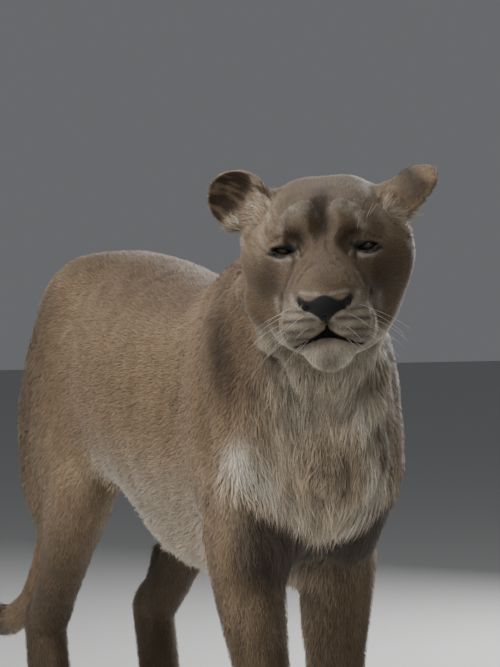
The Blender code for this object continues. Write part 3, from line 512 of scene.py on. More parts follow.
def surface_net(f, low, high, cell):
    """Closed quad surface where f changes sign: a point in each crossed cell, a face across each crossed edge of the grid."""
    block = 8
    low = np.asarray(low, float)
    count = np.ceil((np.asarray(high) - low) / (cell * block)).astype(int) + 1
    grid = np.stack(np.meshgrid(*[np.arange(k) for k in count], indexing="ij"), -1).reshape(-1, 3)
    d = f(low + (grid + 0.5) * block * cell, far=block * cell * 1.2 + 0.03)
    grid = grid[np.abs(d) < block * cell * 1.1 + 0.030]          # only blocks near the surface
    local = np.stack(np.meshgrid(*[np.arange(block)] * 3, indexing="ij"), -1).reshape(-1, 3)
    at = (grid[:, None, :] * block + local[None]).reshape(-1, 3)
    field = np.full(count * block + 1, np.nan, np.float32)
    for i in range(0, len(at), 400000):
        j = at[i : i + 400000]
        field[j[:, 0], j[:, 1], j[:, 2]] = f(low + j * cell)
    unpinch(field, cell * 0.02)
    inside, known = field < 0, ~np.isnan(field)

    def corners(a):
        return [a[i : a.shape[0] - 1 + i, j : a.shape[1] - 1 + j, k : a.shape[2] - 1 + k] for i in (0, 1) for j in (0, 1) for k in (0, 1)]

    c = corners(inside)
    crossed = np.logical_and.reduce(corners(known)) & np.logical_or.reduce(c) & ~np.logical_and.reduce(c)
    cells = np.argwhere(crossed)
    number = np.full(crossed.shape, -1, np.int64)
    number[tuple(cells.T)] = np.arange(len(cells))
    total, hits = np.zeros((len(cells), 3)), np.zeros(len(cells))
    corner = [np.array((i, j, k)) for i in (0, 1) for j in (0, 1) for k in (0, 1)]
    for a in range(8):
        for b in range(a + 1, 8):
            if np.abs(corner[a] - corner[b]).sum() == 1:
                fa, fb = field[tuple((cells + corner[a]).T)], field[tuple((cells + corner[b]).T)]
                m = (fa < 0) != (fb < 0)
                t = fa[m] / (fa[m] - fb[m])
                total[m] += corner[a] + (corner[b] - corner[a]) * t[:, None]
                hits[m] += 1
    points = low + (cells + total / hits[:, None]) * cell
    faces = []
    for axis in range(3):
        e, u, w = (np.eye(3, dtype=int)[(axis + i) % 3] for i in range(3))
        first = tuple(slice(0, inside.shape[i] - e[i]) for i in range(3))
        second = tuple(slice(e[i], inside.shape[i]) for i in range(3))
        x = np.argwhere((inside[first] != inside[second]) & known[first] & known[second])
        x = x[((x - u - w) >= 0).all(1) & (x < np.array(crossed.shape)).all(1)]
        q = np.stack([number[tuple(y.T)] for y in (x - u - w, x - w, x, x - u)], 1)
        q = np.where(inside[second][tuple(x.T)][:, None], q[:, ::-1], q)
        faces.append(q[(q >= 0).all(1)])
    return points, np.concatenate(faces)


# ---------------------------------------------------------------- where things are
low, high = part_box("eye_left")
OFFSET = (np.array(low) + np.array(high)) / 2 - in_head(EYE_GAP, 0, 0)   # from the shape functions' frame to the part's
OFFSET[2] = 0.0
CELL = 0.0072


def head_coords(p):
    """Left, forward and up of the head, from the midpoint between the eyes."""
    return (p - np.asarray(EYES_AT)) @ HEAD


def spot(x, centre, radii):
    """A soft patch, 1 at its centre."""
    return np.exp(-(((x - np.asarray(centre)) / np.asarray(radii)) ** 2).sum(1))


def both(q, centre, radii):
    """The same patch on both sides of the head."""
    return np.maximum(spot(q, centre, radii), spot(q * (-1, 1, 1), centre, radii))


def streak(x, a, b, radius):
    """A soft line from a to b."""
    a, b = np.asarray(a, float), np.asarray(b, float)
    t = np.clip(((x - a) @ (b - a)) / ((b - a) @ (b - a)), 0, 1)
    d = np.linalg.norm(x - a - t[:, None] * (b - a), axis=1)
    return np.exp(-((d / radius) ** 2))


def noise(p, scale, seed=0):
    """Smooth noise from -1 to 1: random numbers at the corners of a lattice, blended between."""
    q = p / scale + 19.7 * (seed + 1)
    i = np.floor(q).astype(np.int64)
    t = q - i
    t = t * t * (3 - 2 * t)
    total = np.zeros(len(p))
    for a in (0, 1):
        for b in (0, 1):
            for c in (0, 1):
                n = (i[:, 0] + a) * 73856093 ^ (i[:, 1] + b) * 19349663 ^ (i[:, 2] + c) * 83492791 ^ seed * 2654435761
                n = (n ^ (n >> 13)) * 1274126177 & 0x7FFFFFFF
                n = (n ^ (n >> 16)) & 0xFFFF
                w = (t[:, 0] if a else 1 - t[:, 0]) * (t[:, 1] if b else 1 - t[:, 1]) * (t[:, 2] if c else 1 - t[:, 2])
                total += w * (n / 32767.5 - 1)
    return total


def normed(v):
    return v / np.maximum(np.linalg.norm(v, axis=1), 1e-12)[:, None]


GROUPS = {
    "trunk": ("trunk", "belly", "rump", "flank_fold"),
    "shoulder": ("scapula", "shoulder_top", "shoulder", "triceps", "arm", "pectoral"),
    "forearm": ("forearm", "elbow"),
    "paw": ("paw", "toe"),
    "thigh": ("thigh_front", "thigh", "hamstring"),
    "shank": ("shank", "tendon", "heel"),
    "neck": ("neck",),
    "tail": ("tail",),
    "head": ("head", "nose", "lid"),
    "ear": ("ear",),
}


def membership(flesh, p):
    """How far each point belongs to each part of the body, from 0 to 1."""
    of = {n: g for g, names in GROUPS.items() for n in names}
    d = {g: np.full(len(p), 0.3) for g in GROUPS}
    for ((lo, hi), g), k, hollow, name in flesh.steps:
        if hollow or name not in of:
            continue
        i = np.nonzero(((p > lo - 0.08) & (p < hi + 0.08)).all(1))[0]
        if len(i):
            e = d[of[name]]
            e[i] = np.minimum(e[i], g(p[i]))
    w = {g: np.exp(-np.clip(x, -0.012, 0.3) / 0.012) for g, x in d.items()}
    total = sum(w.values())
    return {g: x / total for g, x in w.items()}


def depth(p):
    """How deep the skin lies under the tips of the coat."""
    q = head_coords(p)
    u, v, w = q.T
    au = np.abs(u)
    body = 0.0060 + 0 * u
    legs = smooth_step(0.56, 0.40, p[:, 2])
    body = body - 0.0015 * legs - 0.0015 * smooth_step(0.16, 0.06, p[:, 2])
    chest = smooth_step(-0.42, -0.54, p[:, 1]) * smooth_step(0.44, 0.52, p[:, 2]) * smooth_step(0.13, 0.07, np.abs(p[:, 0] + 0.03))
    body = body + 0.006 * chest
    under = smooth_step(0.60, 0.55, p[:, 2]) * smooth_step(0.13, 0.09, np.abs(p[:, 0])) * smooth_step(-0.46, -0.40, p[:, 1]) * smooth_step(0.20, 0.12, p[:, 1])
    body = body + 0.005 * under
    near = smooth_step(-0.20, -0.13, v) * smooth_step(-0.24, -0.17, w)        # on the head
    face = 0.0040 - 0.0016 * smooth_step(-0.06, 0.0, v) - 0.0008 * smooth_step(0.02, 0.07, v)
    face = face + 0.003 * smooth_step(-0.08, -0.14, w) * smooth_step(0.01, -0.05, v)
    ears = smooth_step(0.092, 0.108, au) * smooth_step(-0.035, 0.0, w) * smooth_step(-0.03, -0.045, v)
    ears = np.maximum(ears, smooth_step(0.075, 0.09, au) * smooth_step(0.05, 0.065, w))
    face = face * (1 - ears) + 0.0006 * ears
    bare = np.maximum(spot(q, (0, 0.122, -0.070), (0.040, 0.030, 0.022)), both(q, (EYE_GAP, 0.012, 0.0), (0.026, 0.03, 0.017)))
    bare = np.maximum(bare, spot(q, (0, 0.115, -0.112), (0.03, 0.02, 0.018)))
    face = face * (1 - 0.9 * np.clip(bare * 1.6, 0, 1))
    return body * (1 - near) + face * near


def neighbours(faces):
    e = np.concatenate([faces[:, [i, (i + 1) % faces.shape[1]]] for i in range(faces.shape[1])])
    e.sort(axis=1)
    return np.unique(e, axis=0)


def spread(values, edges, rounds):
    """Values evened out along the edges of a mesh."""
    n = len(values)
    count = np.bincount(edges.ravel(), minlength=n)[:, None] + 1.0
    v = values.reshape(n, -1)
    for _ in range(rounds):
        total = v.copy()
        for k in range(v.shape[1]):
            total[:, k] += np.bincount(edges[:, 0], v[edges[:, 1], k], n) + np.bincount(edges[:, 1], v[edges[:, 0], k], n)
        v = total / count
    return v.reshape(values.shape)


def refine(points, faces, wanted):
    """Splits the wanted quads in four, and fits the quads next to them with triangles. Returns points, quads and triangles as one list of faces, triangles with their last corner -1."""
    me = bpy.data.meshes.new("refine")
    me.from_pydata(points.tolist(), [], [tuple(int(i) for i in f if i >= 0) for f in faces])
    bm = bmesh.new()
    bm.from_mesh(me)
    bpy.data.meshes.remove(me)
    bm.faces.ensure_lookup_table()
    edges = {e for i in np.nonzero(wanted)[0] for e in bm.faces[int(i)].edges}
    bmesh.ops.subdivide_edges(bm, edges=list(edges), cuts=1, use_grid_fill=True)
    big = [f for f in bm.faces if len(f.verts) > 4]
    bmesh.ops.triangulate(bm, faces=big)
    bm.verts.index_update()
    out = np.array([[v.index for v in f.verts] + ([-1] if len(f.verts) == 3 else []) for f in bm.faces])
    pts = np.array([v.co[:] for v in bm.verts])
    bm.free()
    return pts, out


def split_quads(faces):
    """All faces as triangles."""
    q = faces[faces[:, 3] >= 0]
    t = faces[faces[:, 3] < 0][:, :3]
    return np.concatenate([q[:, [0, 1, 2]], q[:, [0, 2, 3]], t])


def vertex_normals(p, tri):
    n = np.cross(p[tri[:, 1]] - p[tri[:, 0]], p[tri[:, 2]] - p[tri[:, 0]])
    out = np.zeros_like(p)
    for k in range(3):
        for a in range(3):
            out[:, a] += np.bincount(tri[:, k], n[:, a], len(p))
    return normed(out)


def seen_from_front(q):
    """Left and up of a point of the head as they show from straight ahead, level with the eyes."""
    return np.stack([q[:, 0], 0.988 * q[:, 2] - 0.156 * q[:, 1]], 1)


def on_face(flesh, chain):
    """Where the face lies behind each point of a chain given as it shows from ahead."""
    v = np.arange(0.170, -0.12, -0.002)
    out = []
    for a, b in chain:
        at = np.stack([np.full(len(v), a), v, (b + 0.156 * v) / 0.988], 1)
        f = flesh(at @ HEAD.T + np.asarray(EYES_AT))
        i = int(np.argmax(f < 0))
        t = f[i - 1] / (f[i - 1] - f[i]) if i else 0.0
        out.append(at[max(i - 1, 0)] * (1 - t) + at[i] * t)
    return np.array(out)


FORWARD = vec(0, 1, 0)


def folds(flesh):
    """What only the skin has: the mouth, creases of the lids, wrinkles of the nose and brow. Each is (chain as it shows from ahead, radius, depth or height, blend)."""
    creases = (
        (((0.0, -0.1235), (0.012, -0.1290)), 0.0050, 0.0036, 0.004),
        (((0.012, -0.1290), (0.025, -0.1355)), 0.0040, 0.0030, 0.004),
        (((0.025, -0.1355), (0.040, -0.1435)), 0.0034, 0.0026, 0.004),
        (((0.040, -0.1435), (0.052, -0.139), (0.062, -0.129)), 0.0030, 0.0018, 0.004),
        (((0.0, -0.096), (0.0, -0.120)), 0.0022, 0.0028, 0.003),
        (((0.049, 0.009), (0.064, 0.0135), (0.080, 0.008)), 0.0022, 0.0020, 0.003),
        (((0.046, -0.016), (0.064, -0.0175), (0.080, -0.009)), 0.0022, 0.0012, 0.004),
        (((0.037, -0.049), (0.031, -0.038), (0.022, -0.029), (0.013, -0.023)), 0.0022, 0.0013, 0.003),
        (((0.047, -0.052), (0.038, -0.034), (0.023, -0.019)), 0.0022, 0.0012, 0.003),
        (((0.045, -0.006), (0.043, -0.018), (0.047, -0.034), (0.056, -0.052)), 0.0024, 0.0014, 0.004),
        (((0.0, 0.066), (0.0, 0.030)), 0.0100, 0.0020, 0.012),
        (((0.064, -0.068), (0.067, -0.098), (0.065, -0.116), (0.057, -0.133)), 0.0045, 0.0040, 0.006),
    )
    ridges = (
        (((0.009, 0.050), (0.017, 0.056), (0.028, 0.057), (0.040, 0.052)), 0.0065, 0.0016, 0.008),
        (((0.046, 0.049), (0.054, 0.038), (0.056, 0.026)), 0.0060, 0.0012, 0.008),
        (((0.050, -0.0105), (0.064, -0.0120), (0.077, -0.0050)), 0.0024, 0.0012, 0.003),
        (((0.042, 0.004), (0.037, -0.014)), 0.0045, 0.0012, 0.005),
    )
    plain = Flesh()
    plain.steps = list(flesh.steps)
    for set_, sign in ((ridges, 1), (creases, -1)):
        for chain, radius, much, blend in set_:
            for s in (-1, 1):
                if s < 0 and all(a == 0 for a, _ in chain):
                    continue
                at = on_face(plain, [(s * a, b) for a, b in chain])
                at = at + FORWARD * (radius - much if sign < 0 else much - radius)
                for a, b in zip(at, at[1:]):
                    shape = cone(in_head(*a), in_head(*b), radius, radius * 0.98)
                    (flesh.cut if sign < 0 else flesh.add)(shape, blend)
    # the ruff of the throat, which stands out from the neck on both sides
    for chain, radius, much in (
        (((-0.161, -0.629, 0.948), (-0.178, -0.690, 0.915), (-0.143, -0.675, 0.865), (-0.112, -0.668, 0.805), (-0.084, -0.655, 0.760)), 0.022, 0.008),
        (((0.076, -0.605, 0.821), (0.032, -0.655, 0.779), (-0.006, -0.668, 0.736)), 0.020, 0.007),
    ):
        chain = np.array(chain)
        h = 0.002
        for _ in range(3):
            g = normed(np.stack([plain(chain + np.eye(3)[i] * h) - plain(chain - np.eye(3)[i] * h) for i in range(3)], 1))
            chain = chain - g * np.clip(plain(chain), -0.03, 0.03)[:, None]
        at = chain + g * (much - radius)
        for a, b in zip(at, at[1:]):
            flesh.add(cone(a, b, radius, radius * 0.98), 0.030)
    # folds of the neck before the shoulders, and the furrow of the chest
    for s in (-1, 1):
        for chain, radius, deep in (
            (((-0.105, -0.370, 0.955), (-0.145, -0.393, 0.902), (-0.173, -0.453, 0.857), (-0.180, -0.471, 0.812), (-0.179, -0.484, 0.759), (-0.174, -0.505, 0.700)), 0.016, 0.0075),
            (((-0.040, -0.672, 0.720), (-0.034, -0.645, 0.640)), 0.014, 0.010),
            (((-0.130, -0.665, 0.840), (-0.103, -0.659, 0.782), (-0.078, -0.637, 0.715)), 0.013, 0.008),
        ):
            chain = np.array(chain) * (-s, 1, 1) if s > 0 and radius > 0.015 else np.array(chain)
            if s > 0 and radius < 0.015:
                continue
            h = 0.002
            g = normed(np.stack([plain(chain + np.eye(3)[i] * h) - plain(chain - np.eye(3)[i] * h) for i in range(3)], 1))
            at = chain - g * plain(chain)[:, None] + g * (radius - deep)
            for a, b in zip(at, at[1:]):
                flesh.cut(cone(a, b, radius, radius * 0.98), 0.020)
    # the furry fold of skin along the front edge of each ear
    for s, chain in ((-1, ((0.133, 0.018), (0.116, 0.033), (0.098, 0.049), (0.084, 0.060))), (1, ((0.137, 0.006), (0.122, 0.020), (0.106, 0.036), (0.090, 0.050)))):
        at = on_face(plain, [(s * a, b) for a, b in chain])
        at[:, 1] = np.maximum(at[:, 1], -0.060) - 0.002
        for a, b in zip(at, at[1:]):
            flesh.add(cone(in_head(*a), in_head(*b), 0.0078, 0.0080), 0.008)


def skin_mesh():
    base = build_flesh(0.014, fine=False)
    points, faces = surface_net(base, (-0.32, -1.02, -0.03), (0.30, 1.20, 1.22), CELL)
    rounds = 2
    for turn_ in range(rounds):
        mid = points[np.where(faces < 0, faces[:, [0]], faces)].mean(1)
        u, v, w = head_coords(mid).T
        ears = (np.abs(u) > 0.085) & (w > -0.02) & (v < -0.02) & (v > -0.17)
        if turn_ < rounds - 1:
            wanted = (v > -0.13) & (w > -0.19) & (w < 0.2) | ears
        else:
            wanted = (v > -0.005) & (w > -0.165) & (w < 0.07) & (np.abs(u) < 0.10)
        points, faces = refine(points, faces, wanted)
    fine = build_flesh(0.0075, fine=True)
    folds(fine)

    def under(p):
        u, v, w = head_coords(p).T
        body = smooth_step(-0.13, -0.20, v) * smooth_step(0.15, 0.30, p[:, 2])
        loose = 0.0016 * noise(p * (1, 1, 0.28), 0.030, 11) + 0.0006 * noise(p * (1, 1, 0.45), 0.018, 12)
        return fine(p) + depth(p) + np.where(body > 0, body * loose, 0)

    points = settle(under, points, 3, CELL * 0.5)
    near = head_coords(points)[:, 1] > -0.15
    points[near] = settle(under, points[near], 4, 0.002)
    tri = split_quads(faces)
    edges = neighbours(tri)
    # even the spacing a little, then back to the surface
    moved = spread(points, edges, 1)
    n = vertex_normals(points, tri)
    shift = moved - points
    shift -= n * (shift * n).sum(1)[:, None]
    points = points + shift * 0.6
    points[near] = settle(under, points[near], 2, 0.002)
    points[~near] = settle(under, points[~near], 1, 0.002)
    points[:, 2] = np.maximum(points[:, 2], 0.0006)
    return fine, points, faces, tri, edges


# ---------------------------------------------------------------- colours and the lie of the coat
def linear(r, g, b):
    c = np.array((r, g, b), float) / 255
    return np.where(c > 0.04045, ((c + 0.055) / 1.055) ** 2.4, c / 12.92)


TAWNY = linear(134, 112, 86)
BACK = linear(87, 72, 56)
SAND = linear(152, 132, 106)
PALE = linear(190, 177, 156)
CREAM = linear(220, 211, 194)
UMBER = linear(66, 53, 42)
SOOT = linear(40, 33, 29)
BLACK = linear(16, 14, 14)


def mix(a, b, t):
    t = np.clip(t, 0, 1)
    return a + (b - a) * (t[:, None] if np.ndim(t) else t)


FACE_PALE_AND_HIGHLIGHT = (
    # pale fur of the brows, this line and the next, with a painted highlight on their ridges
    (((0.010, 0.048), (0.016, 0.053), (0.026, 0.055), (0.038, 0.051)), 0.0064, 0.34),
    (((0.044, 0.050), (0.054, 0.038), (0.058, 0.026)), 0.0080, 0.28),
    (((0.042, 0.002), (0.038, -0.013)), 0.0042, 0.32),
    (((0.050, -0.0150), (0.066, -0.0150), (0.078, -0.0085)), 0.0030, 0.75),
    (((0.046, -0.065), (0.044, -0.076), (0.031, -0.088), (0.012, -0.100)), 0.0036, 0.45),
    (((0.032, -0.062), (0.0, -0.068)), 0.0026, 0.35),
    (((0.072, -0.070), (0.070, -0.089)), 0.0050, 0.35),
    (((0.032, -0.153), (0.018, -0.161)), 0.0085, 0.60),
)
FACE_DARK_AND_SHADE = (
    # painted shade in the furrow of the forehead, this line and the next
    (((0.0, 0.078), (0.0, 0.056)), 0.0120, 0.82),
    (((0.0, 0.057), (0.0, 0.030)), 0.0080, 0.66),
    (((0.0, 0.016), (0.0, -0.040)), 0.0190, 0.32),
    # painted shade in the furrow of the forehead
    (((0.0, 0.037), (0.0, 0.022)), 0.0150, 0.45),
    # painted shade in the hollows above the inner corners of the eyes
    (((0.038, 0.018), (0.032, 0.008)), 0.0120, 0.65),
    # painted shade on the cheeks below the outer corners of the eyes
    (((0.085, -0.020), (0.080, -0.055)), 0.0220, 0.35),
    (((0.060, 0.048), (0.072, 0.040)), 0.0100, 0.25),
    (((0.043, -0.004), (0.042, -0.018), (0.047, -0.032), (0.056, -0.050), (0.063, -0.070)), 0.0034, 0.72),
    # painted shade in the crease of the upper lid
    (((0.050, 0.010), (0.064, 0.0140), (0.081, 0.008)), 0.0014, 0.70),
    # painted shade in the wrinkles beside the nose, this line and the next
    (((0.037, -0.049), (0.031, -0.038), (0.022, -0.029), (0.013, -0.023)), 0.0018, 0.38),
    (((0.047, -0.050), (0.038, -0.034), (0.023, -0.019)), 0.0018, 0.32),
    (((0.016, -0.1005), (0.058, -0.1020)), 0.0030, 0.80),
    (((0.026, -0.0890), (0.056, -0.0880)), 0.0020, 0.60),
    (((0.018, -0.1150), (0.056, -0.1170)), 0.0030, 0.65),
    (((0.026, -0.1270), (0.054, -0.1290)), 0.0035, 0.60),
    (((0.044, -0.1240), (0.046, -0.1380)), 0.0120, 0.45),
    # painted shade in the crease along the edge of the whisker pad
    (((0.065, -0.068), (0.067, -0.098)), 0.0026, 0.50),
    # painted shade on the cheek below the eye
    (((0.078, -0.036), (0.074, -0.050)), 0.0190, 0.40),
    (((-0.004, -0.146), (0.006, -0.160)), 0.0110, 0.45),
    (((0.053, 0.030), (0.049, 0.018)), 0.0034, 0.50),
)


EAR_RIDGES = ((-1, ((0.133, 0.018), (0.116, 0.033), (0.098, 0.049), (0.084, 0.060))), (1, ((0.137, 0.006), (0.122, 0.020), (0.106, 0.036), (0.090, 0.050))))
LIP_AT = (0, 0.0016, 0.0034, 0.008, 0.012, 0.016, 0.020, 0.025, 0.030, 0.035, 0.040, 0.045, 0.050)     # the gap of the lips: its upper and lower edges, as they show from ahead
LIP_TOP = (-0.1105, -0.1115, -0.1166, -0.1193, -0.1222, -0.1245, -0.1264, -0.1287, -0.1310, -0.1336, -0.1364, -0.1384, -0.1392)
LIP_LOW = (-0.1280, -0.1281, -0.1282, -0.1287, -0.1295, -0.1306, -0.1319, -0.1336, -0.1354, -0.1374, -0.1394, -0.1403, -0.1396)
FRINGE = ((-0.165, -0.560, 0.655), (-0.124, -0.604, 0.655), (-0.085, -0.612, 0.640), (-0.045, -0.605, 0.620), (-0.012, -0.610, 0.605), (0.030, -0.615, 0.628), (0.063, -0.600, 0.642), (0.100, -0.565, 0.652))


def line(f, chain, radius):
    """A soft stroke through the points of a chain."""
    out = np.zeros(len(f))
    for a, b in zip(chain, chain[1:]):
        out = np.maximum(out, streak(f, a, b, radius))
    return out


def coat_colour(p, n, part):
    """The markings, with painted shade and highlights, for the skin and the tufts alike."""
    q = head_coords(p)
    u, v, w = q.T
    au = np.abs(u)
    a = np.stack([au, v, w], 1)
    x, y, z = p.T
    c = np.tile(TAWNY, (len(p), 1))
    body = part["trunk"] + part["shoulder"] + part["thigh"] + part["neck"]
    c = mix(c, BACK, 0.75 * smooth_step(0.35, 0.95, n[:, 2]) * body)
    c = mix(c, SAND, 0.55 * smooth_step(0.78, 0.60, z) * smooth_step(0.5, 0.2, np.abs(n[:, 2])) * body)
    # pale underside, groins and inner legs
    under = smooth_step(0.05, -0.85, n[:, 2]) * (part["trunk"] + part["shoulder"] * 0.6 + 0.4 * part["thigh"]) * smooth_step(0.75, 0.6, z)
    c = mix(c, PALE * 0.92, under)
    inner = smooth_step(0.15, 0.7, -n[:, 0] * np.sign(x)) * (part["thigh"] + part["shank"] + part["forearm"] + 0.5 * part["shoulder"])
    c = mix(c, PALE, 0.6 * inner)
    c = mix(c, SAND, 0.5 * (part["forearm"] + part["shank"]) + 0.6 * part["paw"])
    # throat and chest
    front = smooth_step(0.30, -0.40, n[:, 1] + 0.35 * n[:, 2])
    throat = (part["neck"] + part["shoulder"] * 0.8 + part["trunk"]) * smooth_step(-0.42, -0.56, y) * smooth_step(0.15, 0.06, np.abs(x + 0.02)) * smooth_step(0.50, 0.58, z)
    c = mix(c, PALE * 0.82, 0.85 * throat * front * (0.40 + 0.60 * smooth_step(0.69, 0.80, z)))
    # painted shade: the sides of the neck darker
    c = mix(c, TAWNY * 0.52, 0.7 * part["neck"] * smooth_step(0.10, 0.16, np.abs(x + 0.03)) * smooth_step(1.05, 0.98, z))
    # painted shade: the rump, thighs and hocks darker on their sides and undersides, and the lower legs darker
    c = mix(c, TAWNY * 0.48, 0.82 * smooth_step(0.22, 0.42, y) * (part["trunk"] + part["thigh"] + part["shank"]) * smooth_step(0.75, 0.2, n[:, 2]))
    c = mix(c, TAWNY * 0.42, 0.82 * (part["forearm"] + part["shank"]) * smooth_step(0.60, 0.35, z))
    # painted shade: a dark band along the edge of the neck before the shoulders, on both sides
    c = mix(c, TAWNY * 0.45, 0.80 * (1 - part["head"] - part["ear"]) * line(np.stack([-np.abs(x + 0.02) - 0.02, y, z], 1), ((-0.095, -0.400, 0.990), (-0.135, -0.470, 0.950), (-0.160, -0.530, 0.900), (-0.172, -0.570, 0.840)), 0.055))
    # breast: pale points of the shoulders and ruff, painted shade in the hollows beside the ruff and in the furrows, a
    # painted highlight at the lower end of the ruff's left edge, and painted shade under the fringe
    b = np.stack([-np.abs(x + 0.012) - 0.012, y, z], 1)
    chest = smooth_step(0.2, -0.2, n[:, 1]) * (1 - part["head"]) * smooth_step(-0.40, -0.48, y)
    locks = np.clip(0.85 + 0.60 * noise(p * (1, 1, 0.14), 0.011, 31) + 0.25 * noise(p * (1, 1, 0.2), 0.005, 32), 0, 1.4)
    for chain, radius, k in (
        (((-0.165, -0.575, 0.682), (-0.135, -0.605, 0.668)), 0.030, 0.78),
        (((-0.135, -0.605, 0.665), (-0.085, -0.612, 0.640), (-0.050, -0.605, 0.610)), 0.018, 0.60),
        (((-0.150, -0.600, 0.700), (-0.100, -0.630, 0.720)), 0.030, 0.35),
        (((-0.165, -0.640, 0.940), (-0.178, -0.700, 0.905), (-0.148, -0.682, 0.870), (-0.118, -0.671, 0.815), (-0.095, -0.658, 0.775)), 0.020, 0.80),
        (((-0.166, -0.459, 0.573), (-0.166, -0.450, 0.560)), 0.022, 0.75),
    ):
        c = mix(c, CREAM * 0.9, chest * k * locks * line(b, chain, radius))
    # a pale streak down the ruff's left edge; its lower end, on the rim of the chest, is a painted highlight
    c = mix(c, CREAM * 0.9, chest * 0.85 * locks * line(p, ((-0.013, -0.693, 0.805), (0.015, -0.665, 0.773), (0.030, -0.667, 0.720), (0.039, -0.662, 0.675), (0.051, -0.617, 0.618)), 0.019))
    # painted shade: the side of the neck before the shoulder, and the furrow beside the ruff, on both sides
    for chain, radius, k in (
        (((-0.150, -0.480, 0.930), (-0.172, -0.540, 0.870), (-0.172, -0.560, 0.810)), 0.040, 0.65),
        (((-0.135, -0.660, 0.870), (-0.118, -0.660, 0.830), (-0.096, -0.655, 0.775), (-0.075, -0.637, 0.705)), 0.020, 0.80),
    ):
        c = mix(c, UMBER, chest * k * locks * line(b, chain, radius))
    # painted shade on the left side of the neck and shoulder, and in the two furrows of the chest
    c = mix(c, UMBER, chest * 0.72 * locks * line(p, ((0.095, -0.560, 0.880), (0.075, -0.600, 0.820), (0.060, -0.630, 0.770), (0.092, -0.599, 0.700)), 0.024))
    c = mix(c, UMBER, chest * 0.70 * locks * line(p, ((-0.046, -0.665, 0.745), (-0.036, -0.640, 0.610)), 0.009))
    c = mix(c, UMBER, chest * 0.60 * locks * line(p, ((-0.020, -0.668, 0.740), (-0.010, -0.640, 0.610)), 0.008))
    # painted shade under the fringe and between the forelegs
    below = smooth_step(0.594, 0.570, z - 0.50 * np.clip(np.abs(x + 0.015), 0, 0.095)) * smooth_step(0.43, 0.54, z) * smooth_step(0.165, 0.115, np.abs(x)) * smooth_step(-0.40, -0.46, y)
    c = mix(c, UMBER * 0.55, 0.90 * below * (1 - part["paw"]))
    c = c * (1 + 0.26 * chest * smooth_step(0.15, 0.10, np.abs(x + 0.02)) * noise(p * (1, 1, 0.16), 0.008, 14) + 0.14 * chest * noise(p * (1, 1, 0.2), 0.020, 15))[:, None]
    # tail and its tuft
    t = part["tail"] * smooth_step(0.93, 0.99, y)
    c = mix(c, SOOT, 0.92 * t)
    # ---- head
    h = part["head"]
    # the head's base tone, darkened as painted shade
    c = mix(c, TAWNY * 0.58, h)
    c = mix(c, BACK * 0.85, h * 0.72 * smooth_step(0.035, 0.070, w))
    jaw = smooth_step(-0.105, -0.135, w) * smooth_step(-0.16, -0.05, v)
    c = mix(c, PALE * 0.8, h * jaw)
    # painted shade on the cheeks
    c = mix(c, TAWNY * 0.42, h * 0.55 * both(q, (0.085, -0.020, -0.045), (0.035, 0.05, 0.040)))
    pad = both(q, (0.034, 0.085, -0.095), (0.036, 0.045, 0.030))
    c = mix(c, PALE * 0.66, h * np.clip(pad * 1.3, 0, 0.80))
    chin = spot(q, (0, 0.08, -0.146), (0.045, 0.05, 0.020))
    c = mix(c, PALE * 0.78, h * np.clip(chin * 1.5, 0, 0.85))
    # the face's marks, painted highlights on the brows and painted shade in the forehead's furrow, the hollows, creases
    # and cheeks, as they show from ahead: chain, radius, strength
    f = seen_from_front(a)
    ahead = h * smooth_step(-0.10, -0.04, v) * smooth_step(-0.3, 0.25, n @ HEAD[:, 1])
    for chain, radius, k in FACE_PALE_AND_HIGHLIGHT:
        c = mix(c, CREAM * 0.85, ahead * k * line(f, chain, radius) * (0.80 + 0.40 * noise(q, 0.007, 21)))
    for chain, radius, k in FACE_DARK_AND_SHADE:
        c = mix(c, UMBER * 0.7, ahead * k * line(f, chain, radius))
    # the lips' dark skin in their gap, with painted shade in the fold; then darker hair on the chin just under the
    # lower lip, partly painted shade
    gap = np.maximum(f[:, 1] - np.interp(au, LIP_AT, LIP_TOP), np.interp(au, LIP_AT, LIP_LOW) - f[:, 1])
    c = mix(c, UMBER * 0.6, h * (v > 0.02) * 0.80 * smooth_step(0.0040, -0.0010, gap) * smooth_step(0.054, 0.046, au))
    c = mix(c, UMBER, h * (v > 0.02) * 0.30 * smooth_step(0.014, 0.0, gap) * smooth_step(0.0, -0.006, f[:, 1] - np.interp(au, LIP_AT, LIP_LOW)) * smooth_step(0.050, 0.030, au))
    # ears: dark backs with a paler rim, pale inner hair
    e = part["ear"]
    for _, s, out, face in EARS:
        root, o, through, across = ear_axes(s, out, face)
        d = p - root
        mine = e * (u * s > 0)
        behind = smooth_step(0.2, -0.4, n @ through)
        c = mix(c, TAWNY, mine)
        c = mix(c, SOOT, mine * behind * 0.85 * smooth_step(0.062, 0.045, d @ o) * smooth_step(0.004, 0.020, d @ o))
        c = mix(c, UMBER * 0.62, mine * (1 - behind) * 0.9)
        strands = 0.5 + 0.5 * noise(np.stack([(d @ across) * 2.2, (d @ o) * 0.5, (d @ through) * 0.5], 1), 0.008, 13)
        c = mix(c, SAND, mine * (1 - behind) * smooth_step(0.55, 0.80, strands) * 0.55)
        c = mix(c, PALE, mine * (1 - behind) * smooth_step(0.036, 0.004, d @ o) * smooth_step(0.35, 0.70, strands) * 0.9)
        r = np.sqrt(((d @ across) / 0.047) ** 2 + (((d @ o) - 0.030) / 0.047) ** 2)
        c = mix(c, SAND, mine * smooth_step(0.90, 1.0, r) * 0.8)
    for s, chain in EAR_RIDGES:
        c = mix(c, PALE, 0.8 * (h + e) * (v < -0.02) * line(f * (s, 1), chain, 0.0085) * (u * s > 0))
